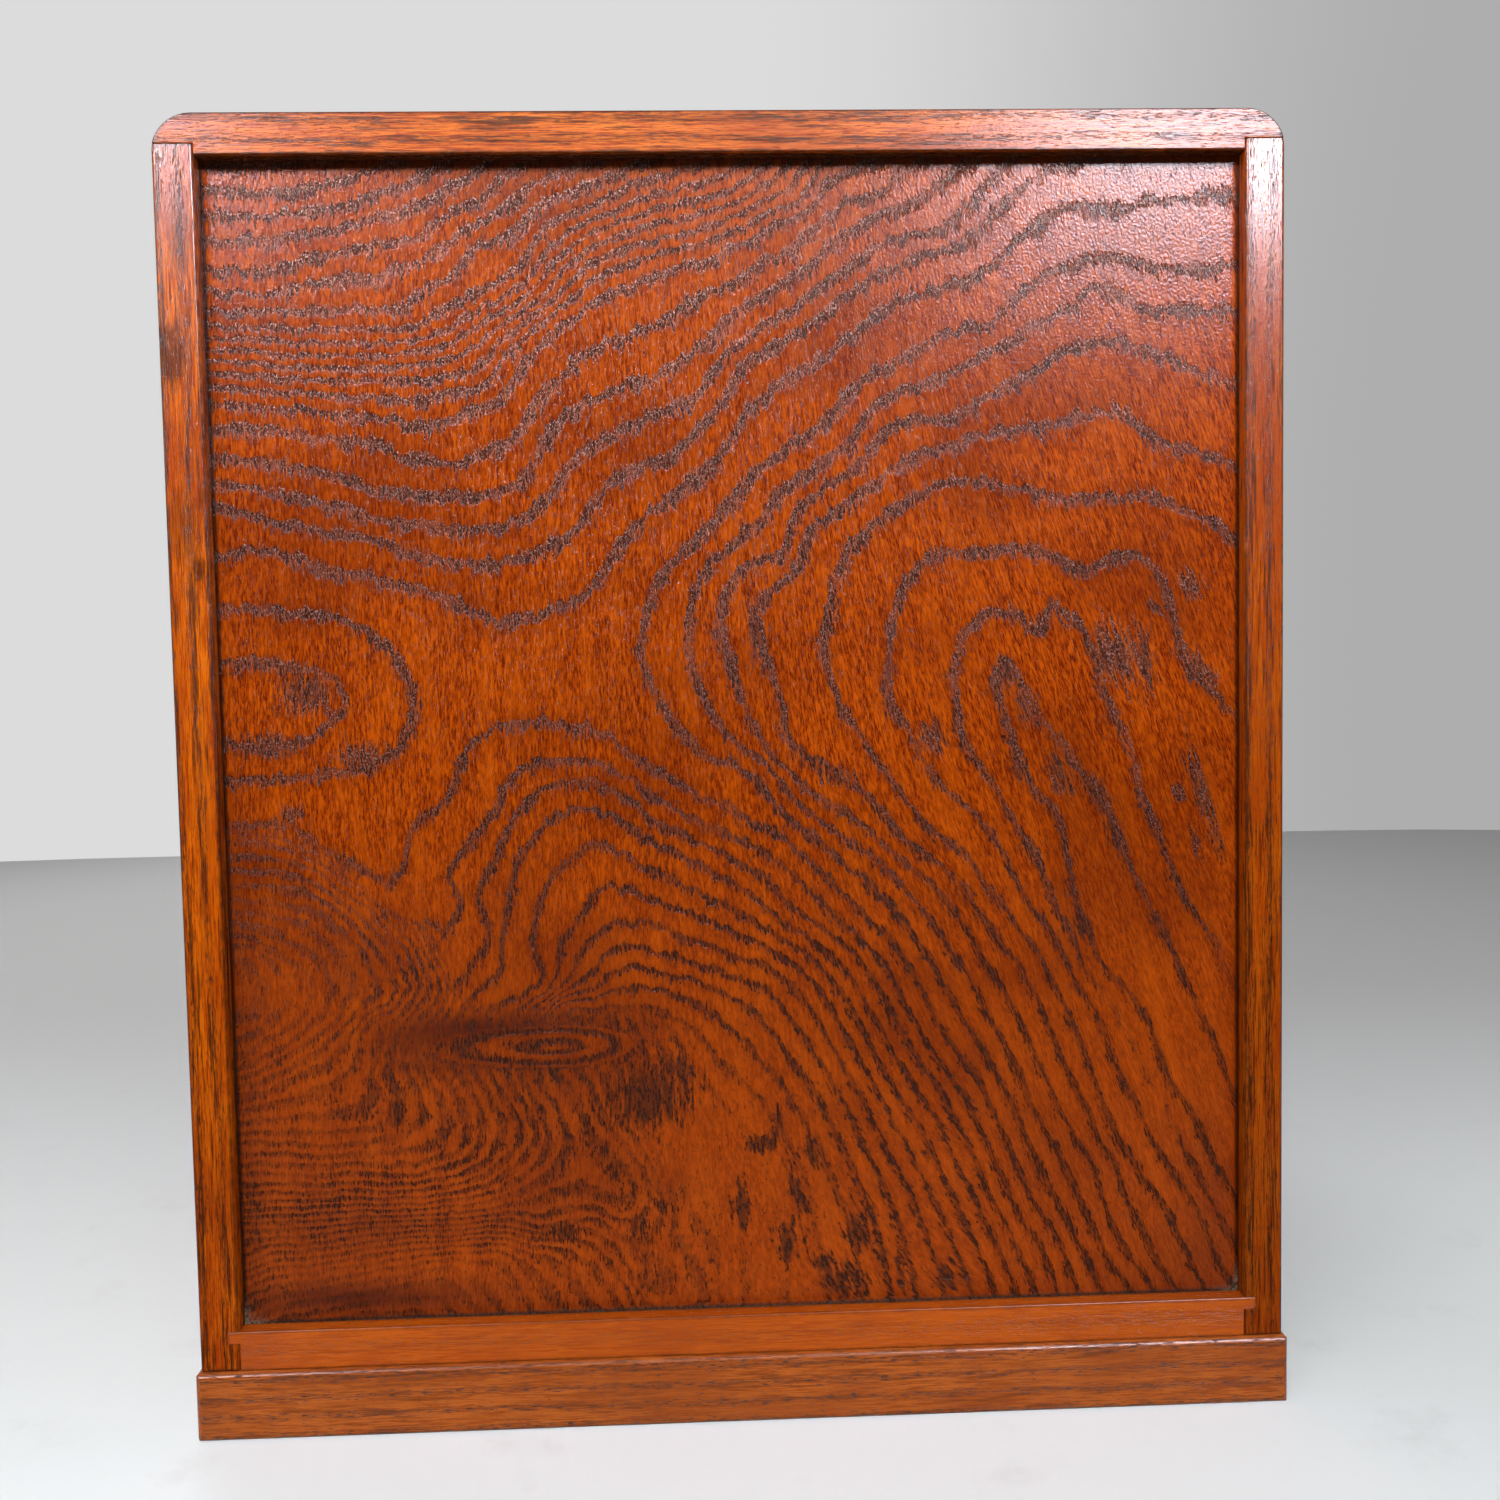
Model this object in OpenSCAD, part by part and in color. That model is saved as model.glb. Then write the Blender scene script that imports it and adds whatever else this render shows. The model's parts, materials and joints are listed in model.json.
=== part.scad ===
// A small board-built chest of five drawers, on a low plinth.
// Millimetres. The drawers open towards -Y, the panelled back faces +Y, and Z is up.
// The origin is the centre of the underside of the whole chest, pulls included.

/* [Case] */
// Width of the case over its two side boards
case_w = 360; // [320:1:440]
// Depth of the case from its front edges to its back edges
case_d = 280; // [240:1:340]
// Height of the case above the plinth
case_h = 404; // [385:1:460]
// Thickness of the side boards
side_t = 13; // [11:0.5:16]
// Thickness of the top board
top_t = 13; // [11:0.5:16]
// Thickness of the bottom board
bottom_t = 13; // [10:0.5:16]
// Radius of the two rounded top corners
corner_r = 12.5; // [6:0.5:13]
// Width of the small bevel on the long edges of the boards
arris = 0.8; // [0.4:0.1:1.2]

/* [Case joints] */
// How far the side boards stand up behind the shoulders of the top board
top_lap = 3.5; // [2:0.5:5]
// Thickness of the tongues at the ends of the bottom board
tongue_t = 4; // [3:0.5:6]
// Length of those tongues, let into the side boards
tongue_l = 4; // [2:0.5:6]
// Depth of the housings that hold the shelves and the partition
housing = 3; // [2:0.5:5]

/* [Back panel] */
// Thickness of the back panel
panel_t = 5; // [4:0.5:8]
// How far the panel lies inside the back edges of the case
panel_recess = 6; // [3:0.5:12]
// Depth of the groove that holds the panel on all four sides
panel_groove = 4; // [2:0.5:6]

/* [Plinth] */
// Height of the plinth
plinth_h = 22.5; // [16:0.5:40]
// Thickness of the plinth boards
plinth_t = 18; // [15:0.5:24]
// How far the plinth stands out beyond the case on all sides
plinth_proud = 1.8; // [0.5:0.1:4]
// Radius along the top edge of the plinth
plinth_edge_r = 2.4; // [1:0.1:4]
// Radius of the upright corners of the plinth
plinth_corner_r = 3; // [1:0.5:6]
// Length of the legs of the glued blocks in the corners of the plinth
glue_block = 20; // [12:1:30]
// Height of the glued blocks
glue_block_h = 18; // [10:0.5:22]

/* [Shelves] */
// Thickness of the three shelves between the rows of drawers
shelf_t = 7; // [5:0.5:10]
// Thickness of the upright partition between the two small drawers
partition_t = 8; // [6:0.5:12]
// Clear height of the row of two small drawers
top_row_h = 66; // [60:1:76]
// Clear height of the row below it
upper_row_h = 82; // [70:1:92]
// Clear height of the third row, with what is left going to the lowest row
middle_row_h = 95; // [80:1:105]
// Thickness of the battens that stop the drawers at the back
stop_t = 8; // [5:0.5:12]
// Height of those battens
stop_h = 12; // [8:0.5:20]

/* [Drawers] */
// Thickness of the drawer fronts
front_t = 13; // [11:0.5:16]
// How far the drawer fronts lie inside the front edges of the case
front_inset = 1; // [0.5:0.1:3]
// How far the sides and the bottom run into rebates behind the front
front_rebate = 8; // [5:0.5:10]
// Thickness of the drawer sides
drawer_side_t = 7; // [5:0.5:9]
// Thickness of the drawer backs
drawer_back_t = 7; // [5:0.5:9]
// Thickness of the drawer bottoms
drawer_bottom_t = 5; // [4:0.5:7]
// How much lower the drawer sides are than the front
side_drop = 1.5; // [0.5:0.5:4]

/* [Running gaps] */
// Gap on each side of a drawer
side_gap = 0.5; // [0.3:0.1:1]
// Gap under a drawer
run_gap = 0.3; // [0.2:0.1:0.5]
// Gap over a drawer front
head_gap = 0.8; // [0.5:0.1:1.5]
// Gap between a closed drawer and its batten
stop_gap = 0.3; // [0.2:0.1:0.6]

/* [Pulls] */
// Distance between the two posts of a pull
pull_span = 50; // [40:1:64]
// How far the pivot of the bail stands out from the drawer front
pull_out = 9; // [7.5:0.5:12]
// Height of the pivot above the middle of the drawer front
pull_rise = 8; // [4:1:12]
// Radius of the round bar of the bail
bail_r = 2.2; // [1.6:0.1:2.6]
// Drop from the pivot to the middle of the bow
bail_drop = 22; // [17:1:26]
// Radius of the bends at the lower corners of the bail
bend_r = 10; // [5:0.5:13]
// Gap between the arms of the bail and the eyes of the posts
eye_gap = 0.6; // [0.3:0.1:1.2]
// Radius of the pins at the ends of the bail
pin_r = 1.5; // [1.2:0.1:1.8]
// Running clearance round the pins
pin_fit = 0.1; // [0.05:0.01:0.1]
// Radius of the round eyes of the posts
eye_r = 4.2; // [3.4:0.1:5]
// Radius of the shanks of the posts
post_r = 1.9; // [1.5:0.1:2.3]
// Clearance round the shanks in the drawer front and the rosettes
post_fit = 0.1; // [0.05:0.05:0.2]
// Radius of the rivet heads inside the drawer
rivet_r = 4; // [3:0.5:6]
// Thickness of the rivet heads
rivet_t = 1.2; // [0.8:0.1:2]
// Radius of the rosettes under the posts
rosette_r = 8; // [6:0.5:10]
// Thickness of the rosettes in the middle
rosette_t = 1.8; // [1.2:0.1:2.4]

/* [Hidden] */
$fn = 48;
reach = pull_out + eye_r - front_inset;
total_d = reach + case_d + plinth_proud;
back_y = total_d / 2 - plinth_proud;
front_y = back_y - case_d;
panel_back_y = back_y - panel_recess;
panel_y = panel_back_y - panel_t;
stop_y = panel_y - stop_t;
face_y = front_y + front_inset;
rebate_y = face_y + front_t - front_rebate;
inner_x = case_w / 2 - side_t;
case_top = plinth_h + case_h;
floor_z = plinth_h + bottom_t;
ceiling_z = case_top - top_t;
lap_z = ceiling_z + top_lap;
upper_shelf_z = ceiling_z - top_row_h - shelf_t;
middle_shelf_z = upper_shelf_z - upper_row_h - shelf_t;
lower_shelf_z = middle_shelf_z - middle_row_h - shelf_t;
shelf_heights = [upper_shelf_z, middle_shelf_z, lower_shelf_z];
plinth_x = case_w / 2 + plinth_proud;
plinth_front_y = front_y - plinth_proud;
plinth_back_y = back_y + plinth_proud;
arm_x = pull_span / 2 + eye_r + eye_gap + bail_r;
pin_end_x = pull_span / 2 - eye_r - 1;
past = 1;
left = -1;
right = 1;

DRAWERS = ["top_left", "top_right", "upper", "middle", "lower"];

// Lower left and upper right corner of each drawer's bay, seen from the front.
BAYS = [
    [[-inner_x, upper_shelf_z + shelf_t], [-partition_t / 2, ceiling_z]],
    [[partition_t / 2, upper_shelf_z + shelf_t], [inner_x, ceiling_z]],
    [[-inner_x, middle_shelf_z + shelf_t], [inner_x, upper_shelf_z]],
    [[-inner_x, lower_shelf_z + shelf_t], [inner_x, middle_shelf_z]],
    [[-inner_x, floor_z], [inner_x, lower_shelf_z]]
];

DRAWER_PIECES = ["front", "left_side", "right_side", "back", "bottom", "pull_posts", "pull_rosettes", "pull_bail"];
CASE_NODES = [
    "top_board", "left_side_board", "right_side_board", "bottom_board", "back_panel",
    "plinth_front", "plinth_back", "plinth_left", "plinth_right", "plinth_glue_blocks",
    "upper_shelf", "middle_shelf", "lower_shelf", "partition", "drawer_stops"
];

lacquer_dark = [0.48, 0.19, 0.08];
lacquer_mid = [0.66, 0.28, 0.08];
lacquer_red = [0.68, 0.24, 0.06];
pale_wood = [0.80, 0.66, 0.46];
aged_metal = [0.24, 0.21, 0.18];

// The corners of each drawer's outer box.
function drawer_low(i) = [BAYS[i][0][0] + side_gap, face_y, BAYS[i][0][1] + run_gap];
function drawer_high(i) = [BAYS[i][1][0] - side_gap, stop_y - stop_gap, BAYS[i][1][1] - head_gap];

// The middle of each pull, on the axis of its two pins.
function pull_at(i) = let (mid = (drawer_low(i) + drawer_high(i)) / 2)
    [mid[0], face_y - pull_out, mid[2] + pull_rise];

// Points along an arc, from one angle to another.
function arc(centre, r, from, to, steps = 6) =
    [for (k = [0 : steps]) centre + r * [cos(from + (to - from) * k / steps), sin(from + (to - from) * k / steps)]];

// A plain board between two opposite corners.
module board(low, high) {
    translate(low)
        cube(high - low);
}

// An upright board whose four long edges have a small bevel.
module upright_board(low, high) {
    w = high[0] - low[0];
    d = high[1] - low[1];
    translate(low)
        linear_extrude(high[2] - low[2])
            polygon([
                [arris, 0], [w - arris, 0], [w, arris], [w, d - arris],
                [w - arris, d], [arris, d], [0, d - arris], [0, arris]
            ]);
}

// The waste outside the rounded top corners of the case.
module corner_waste() {
    for (side = [left, right])
        difference() {
            translate([side * (case_w / 2 - corner_r / 2 + past / 2), front_y + case_d / 2, case_top - corner_r / 2 + past / 2])
                cube([corner_r + past, case_d + 2 * past, corner_r + past], center = true);
            translate([side * (case_w / 2 - corner_r), back_y + 2 * past, case_top - corner_r])
                rotate([90, 0, 0])
                    cylinder(h = case_d + 4 * past, r = corner_r);
        }
}

// The boards of the case

module back_panel() {
    color(lacquer_red)
        board([-inner_x - panel_groove, panel_y, floor_z - panel_groove],
              [inner_x + panel_groove, panel_back_y, ceiling_z + panel_groove]);
}

module bottom_board() {
    color(lacquer_mid)
        difference() {
            union() {
                board([-inner_x, front_y, plinth_h], [inner_x, back_y, floor_z]);
                board([-inner_x - tongue_l, front_y, floor_z - tongue_t], [inner_x + tongue_l, back_y, floor_z]);
            }
            back_panel();
        }
}

module shelf(z) {
    color(lacquer_mid)
        board([-inner_x - housing, front_y, z], [inner_x + housing, panel_y, z + shelf_t]);
}

module upper_shelf() {
    color(lacquer_mid)
        difference() {
            shelf(upper_shelf_z);
            partition();
        }
}

module middle_shelf() {
    shelf(middle_shelf_z);
}

module lower_shelf() {
    shelf(lower_shelf_z);
}

module partition() {
    color(lacquer_mid)
        board([-partition_t / 2, front_y, upper_shelf_z + shelf_t - housing],
              [partition_t / 2, panel_y, ceiling_z + housing]);
}

module side_board(side) {
    near = side == left ? -case_w / 2 : inner_x;
    color(lacquer_mid)
        difference() {
            upright_board([near, front_y, plinth_h], [near + side_t, back_y, lap_z]);
            bottom_board();
            back_panel();
            for (z = shelf_heights)
                shelf(z);
            corner_waste();
        }
}

module left_side_board() {
    side_board(left);
}

module right_side_board() {
    side_board(right);
}

module top_board() {
    color(lacquer_mid)
        difference() {
            board([-case_w / 2, front_y, ceiling_z], [case_w / 2, back_y, case_top]);
            for (side = [left, right])
                translate([side * (case_w - side_t + past) / 2, front_y + case_d / 2, (ceiling_z + lap_z - past) / 2])
                    cube([side_t + past, case_d + 2 * past, top_lap + past], center = true);
            back_panel();
            partition();
            corner_waste();
        }
}

module drawer_stops() {
    color(pale_wood)
        for (bay = BAYS)
            board([bay[0][0], stop_y, bay[0][1]], [bay[1][0], panel_y, bay[0][1] + stop_h]);
}

// The plinth

// Section through the whole plinth: upright outer faces, rounded top edges and an eased foot.
function plinth_section(reach_out) = concat(
    [[-reach_out + arris, 0], [reach_out - arris, 0], [reach_out, arris]],
    arc([reach_out - plinth_edge_r, plinth_h - plinth_edge_r], plinth_edge_r, 0, 90),
    arc([-reach_out + plinth_edge_r, plinth_h - plinth_edge_r], plinth_edge_r, 90, 180),
    [[-reach_out, arris]]
);

// The plinth's outer shape as one solid: rounded in plan and along the top edge.
module plinth_form() {
    long = 2 * plinth_x;
    deep = plinth_back_y - plinth_front_y;
    r = plinth_corner_r;
    translate([0, (plinth_front_y + plinth_back_y) / 2, 0])
        intersection() {
            linear_extrude(plinth_h)
                polygon(concat(
                    arc([plinth_x - r, deep / 2 - r], r, 0, 90),
                    arc([r - plinth_x, deep / 2 - r], r, 90, 180),
                    arc([r - plinth_x, r - deep / 2], r, 180, 270),
                    arc([plinth_x - r, r - deep / 2], r, 270, 360)
                ));
            rotate([90, 0, 0])
                translate([0, 0, -deep / 2 - past])
                    linear_extrude(deep + 2 * past)
                        polygon(plinth_section(plinth_x));
            rotate([90, 0, 90])
                translate([0, 0, -plinth_x - past])
                    linear_extrude(long + 2 * past)
                        polygon(plinth_section(deep / 2));
        }
}

module plinth_piece(low, high) {
    color(lacquer_dark)
        intersection() {
            plinth_form();
            board(low, high);
        }
}

module plinth_front() {
    plinth_piece([-plinth_x - past, plinth_front_y - past, -past],
                 [plinth_x + past, plinth_front_y + plinth_t, plinth_h + past]);
}

module plinth_back() {
    plinth_piece([-plinth_x - past, plinth_back_y - plinth_t, -past],
                 [plinth_x + past, plinth_back_y + past, plinth_h + past]);
}

module plinth_left() {
    plinth_piece([-plinth_x - past, plinth_front_y + plinth_t, -past],
                 [-plinth_x + plinth_t, plinth_back_y - plinth_t, plinth_h + past]);
}

module plinth_right() {
    plinth_piece([plinth_x - plinth_t, plinth_front_y + plinth_t, -past],
                 [plinth_x + past, plinth_back_y - plinth_t, plinth_h + past]);
}

module plinth_glue_blocks() {
    inside_x = plinth_x - plinth_t;
    inside_y = (plinth_back_y - plinth_front_y) / 2 - plinth_t;
    block_h = min(glue_block_h, plinth_h - 2);
    color(pale_wood)
        translate([0, (plinth_front_y + plinth_back_y) / 2, plinth_h - block_h])
            for (sx = [-1, 1])
                for (sy = [-1, 1])
                    linear_extrude(block_h)
                        polygon([
                            [sx * inside_x, sy * inside_y],
                            [sx * (inside_x - glue_block), sy * inside_y],
                            [sx * inside_x, sy * (inside_y - glue_block)]
                        ]);
}

// The drawers

module drawer_bottom(i) {
    low = drawer_low(i);
    high = drawer_high(i);
    color(pale_wood)
        board([low[0], rebate_y, low[2]], [high[0], high[1], low[2] + drawer_bottom_t]);
}

module drawer_side(i, side) {
    low = drawer_low(i);
    high = drawer_high(i);
    near = side == left ? low[0] : high[0] - drawer_side_t;
    color(pale_wood)
        board([near, rebate_y, low[2] + drawer_bottom_t], [near + drawer_side_t, high[1], high[2] - side_drop]);
}

module drawer_back(i) {
    low = drawer_low(i);
    high = drawer_high(i);
    color(pale_wood)
        board([low[0] + drawer_side_t, high[1] - drawer_back_t, low[2] + drawer_bottom_t],
              [high[0] - drawer_side_t, high[1], high[2] - side_drop]);
}

// A drawer front: its face has a small bevel all round, and its back is rebated for the box.
module drawer_front(i) {
    low = drawer_low(i);
    size = [drawer_high(i)[0] - low[0], front_t, drawer_high(i)[2] - low[2]];
    color(lacquer_red)
        difference() {
            translate(low)
                hull() {
                    translate([0, arris, 0])
                        cube(size - [0, arris, 0]);
                    translate([arris, 0, arris])
                        cube(size - [2 * arris, 0, 2 * arris]);
                }
            drawer_side(i, left);
            drawer_side(i, right);
            drawer_bottom(i);
            at_posts(i)
                translate([0, 0, -front_t - past])
                    cylinder(h = front_t + 2 * past, r = post_r + post_fit);
        }
}

// The pulls

// Both post axes of a pull, with Z pointing out of the drawer front and 0 at its face.
module at_posts(i) {
    for (side = [left, right])
        translate([pull_at(i)[0] + side * pull_span / 2, face_y, pull_at(i)[2]])
            rotate([90, 0, 0])
                children();
}

module pull_rosettes(i) {
    rim = rosette_t / 3;
    color(aged_metal)
        at_posts(i)
            rotate_extrude()
                polygon([
                    [post_r + post_fit, 0], [rosette_r, 0], [rosette_r, rim],
                    [rosette_r - rim, 2 * rim], [rosette_r - 3 * rim, 2 * rim],
                    [rosette_r - 4 * rim, rosette_t], [post_r + post_fit, rosette_t]
                ]);
}

module pull_posts(i) {
    color(aged_metal)
        at_posts(i)
            difference() {
                union() {
                    translate([0, 0, -front_t - rivet_t])
                        cylinder(h = rivet_t, r = rivet_r);
                    translate([0, 0, -front_t - rivet_t / 2])
                        cylinder(h = front_t + rivet_t / 2 + pull_out, r = post_r);
                    translate([0, 0, pull_out])
                        sphere(r = eye_r);
                }
                translate([0, 0, pull_out])
                    rotate([0, 90, 0])
                        cylinder(h = 2 * eye_r + 2 * past, r = pin_r + pin_fit, center = true);
            }
}

module pull_bail(i) {
    color(aged_metal)
        translate(pull_at(i)) {
            translate([0, 0, -bail_drop])
                rotate([0, 90, 0])
                    cylinder(h = 2 * (arm_x - bend_r), r = bail_r, center = true);
            bail_end();
            mirror([1, 0, 0])
                bail_end();
        }
}

// The right half of a bail without its bow: the bend, the arm, its round top and the pin.
module bail_end() {
    translate([arm_x - bend_r, 0, bend_r - bail_drop])
        rotate([90, 0, 0])
            rotate([0, 0, -90])
                rotate_extrude(angle = 90)
                    translate([bend_r, 0])
                        circle(r = bail_r);
    translate([arm_x, 0, bend_r - bail_drop])
        cylinder(h = bail_drop - bend_r, r = bail_r);
    translate([arm_x, 0, 0])
        sphere(r = bail_r);
    translate([pin_end_x, 0, 0])
        rotate([0, 90, 0])
            cylinder(h = arm_x - pin_end_x, r = pin_r);
}

top_board();
left_side_board();
right_side_board();
bottom_board();
back_panel();
plinth_front();
plinth_back();
plinth_left();
plinth_right();
plinth_glue_blocks();
upper_shelf();
middle_shelf();
lower_shelf();
partition();
drawer_stops();
for (i = [0 : len(DRAWERS) - 1]) {
    name = str(DRAWERS[i], "_drawer_");
    drawer_front(i);
    drawer_side(i, left);
    drawer_side(i, right);
    drawer_back(i);
    drawer_bottom(i);
    pull_posts(i);
    pull_rosettes(i);
    pull_bail(i);
}
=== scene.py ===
"""A small board-built chest of five drawers in red-orange lacquer, dressed round its fixed CAD frame.

Everything is in metres in the frame of the CAD model: X to the right for someone who faces the drawers,
the panelled back faces +Y, and Z is up. Each operator makes one piece or one group of like pieces.
"""

import json
import math

import bmesh
import bpy
import numpy as np
from mathutils import Matrix, Vector

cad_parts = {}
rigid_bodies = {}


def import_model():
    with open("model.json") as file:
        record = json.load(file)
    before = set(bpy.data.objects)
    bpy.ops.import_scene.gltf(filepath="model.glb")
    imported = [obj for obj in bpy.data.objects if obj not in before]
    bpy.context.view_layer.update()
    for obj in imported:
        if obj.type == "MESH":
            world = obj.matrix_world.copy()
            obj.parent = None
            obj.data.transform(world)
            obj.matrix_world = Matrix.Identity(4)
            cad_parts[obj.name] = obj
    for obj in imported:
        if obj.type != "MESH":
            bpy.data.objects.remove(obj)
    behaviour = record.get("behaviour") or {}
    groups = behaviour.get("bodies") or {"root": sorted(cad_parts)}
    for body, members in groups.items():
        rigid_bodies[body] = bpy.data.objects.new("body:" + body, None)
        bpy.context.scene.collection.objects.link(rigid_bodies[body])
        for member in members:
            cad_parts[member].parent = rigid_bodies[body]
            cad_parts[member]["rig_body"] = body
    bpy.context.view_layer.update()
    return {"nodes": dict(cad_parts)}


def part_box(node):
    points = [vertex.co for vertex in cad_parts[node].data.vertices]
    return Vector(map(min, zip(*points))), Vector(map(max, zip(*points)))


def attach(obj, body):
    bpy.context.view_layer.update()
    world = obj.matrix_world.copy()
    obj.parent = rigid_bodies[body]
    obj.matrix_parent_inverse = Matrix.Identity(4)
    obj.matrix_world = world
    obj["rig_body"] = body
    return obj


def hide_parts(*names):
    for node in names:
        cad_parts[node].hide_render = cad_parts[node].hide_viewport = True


bl_info = {
    "name": "Small chest of drawers",
    "version": (1, 0, 0),
    "blender": (4, 5, 0),
    "location": "View3D > Sidebar > Chest",
    "description": "Dresses a board-built chest of drawers in figured, lacquered wood",
    "category": "Object",
}

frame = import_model()
MM = 0.001
DRAWERS = ("top_left", "top_right", "upper", "middle", "lower")

# The camera of the photograph: where it stands, its lens, and its turns in degrees
CAMERA_AT = (0.01036, 0.57705, 0.24618)
CAMERA_LENS = 31.975
CAMERA_YAW, CAMERA_PITCH, CAMERA_ROLL = 1.9195, 3.0252, -1.0657
FLOOR_HALF = 1.42
# The lamps: where each stands, its width, height and power, and whether it lights without a reflection
# ("matt"), shows in gloss alone ("gloss") or does both
LAMPS = (
    ("window_light", (0.05, 1.12, 0.98), 0.42, 0.42, 9.5, "matt"),
    ("window_glare", (-0.58, 1.12, 1.03), 0.50, 0.54, 92.0, "gloss"),
    ("strip_light", (0.25, 1.13, 1.12), 1.6, 0.5, 12.2, "both"),
    ("strip_glare", (0.80, 1.13, 1.09), 0.50, 0.45, 72.0, "gloss"),
    ("edge_glare", (0.0, 0.62, 1.15), 1.4, 0.25, 12.0, "gloss"),
    ("front_light", (0.7, -1.3, 1.2), 1.0, 0.8, 9.0, "both"),
)
# The point that they face, and the cool colour of the gloss lamps, which makes up for the lacquer's tint
LAMPS_FACE = (0, 0, 0.22)
GLARE_COLOUR = (0.58, 0.67, 1.0)
WORLD_LIGHT = 0.25

# The back panel's visible face, the edges of its recess, and the upper face of the chest
PANEL_FACE_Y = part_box("back_panel")[1][1]
RECESS_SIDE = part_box("right_side_board")[0][0]
RECESS_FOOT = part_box("bottom_board")[1][2]
RECESS_TOP, TOP_FACE = [corner[2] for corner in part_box("top_board")]
# Radius of the top board's round corners
TOP_CORNER = 0.0125
# The strength and the tint of all lacquer's gloss
LACQUER_GLOSS = 0.16
LACQUER_TINT = (1.0, 0.86, 0.64, 1.0)
# Edges of a board that turn by more than this are eased
SHARP_EDGE = math.radians(25)
# Which of X, Y and Z lie along, across and through the grain, by the axis along it
GRAIN_ORDER = {"X": (0, 1, 2), "Y": (1, 2, 0), "Z": (2, 0, 1)}
# Stains on the right side board's back edge: middle, reach, strength
STAINS = (
    ((0.176, 0.145, 0.352), (0.006, 0.007, 0.012), 0.75),
    ((0.170, 0.145, 0.284), (0.0025, 0.004, 0.005), 0.8),
    ((0.174, 0.145, 0.297), (0.007, 0.006, 0.014), 0.35),
    ((0.172, 0.145, 0.390), (0.005, 0.006, 0.020), 0.35),
)

# The bail: radius of its lower bends, radius of its pins, and where they end, from the middle
BAIL_BEND = 0.010
PIN_RADIUS = 0.00145
PIN_END = 0.0198
# The posts: radius of the eye, its bore and the shank, and the height of the rivet head's dome
EYE_RADIUS = 0.0042
BORE_RADIUS = 0.0016
SHANK_RADIUS = 0.0019
RIVET_THICK = 0.0012
# The bead on the shank, up to where the shank enters the eye: radius and height, in millimetres
SHANK_BEAD = ((1.9, -3.4), (2.7, -2.9), (3.0, -2.2), (2.7, -1.5), (2.1, -1.0), (2.1, 1.2), (0, 1.2))
# The rosettes: radius of the hole, number of petals, and the outline as shares of the reach and the height
ROSETTE_HOLE = 0.0020
PETALS = 12
ROSETTE_PROFILE = (
    (0, 0), (0, 0.9), (0.02, 1.0), (0.2, 1.0), (0.3, 0.92), (0.36, 0.62), (0.44, 0.58), (0.56, 0.62),
    (0.68, 0.62), (0.8, 0.52), (0.88, 0.42), (0.94, 0.34), (0.98, 0.24), (1.0, 0.12), (1.0, 0),
)


def linear(red, green, blue):
    """Linear colour of a screen colour in 0 to 255: each part over 255, less its foot, to the power 2.4."""
    parts = [c / 255 for c in (red, green, blue)]
    return (*[((c + 0.055) / 1.055) ** 2.4 if c > 0.04 else c / 12.92 for c in parts], 1.0)


# The figure of the back panel

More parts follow.
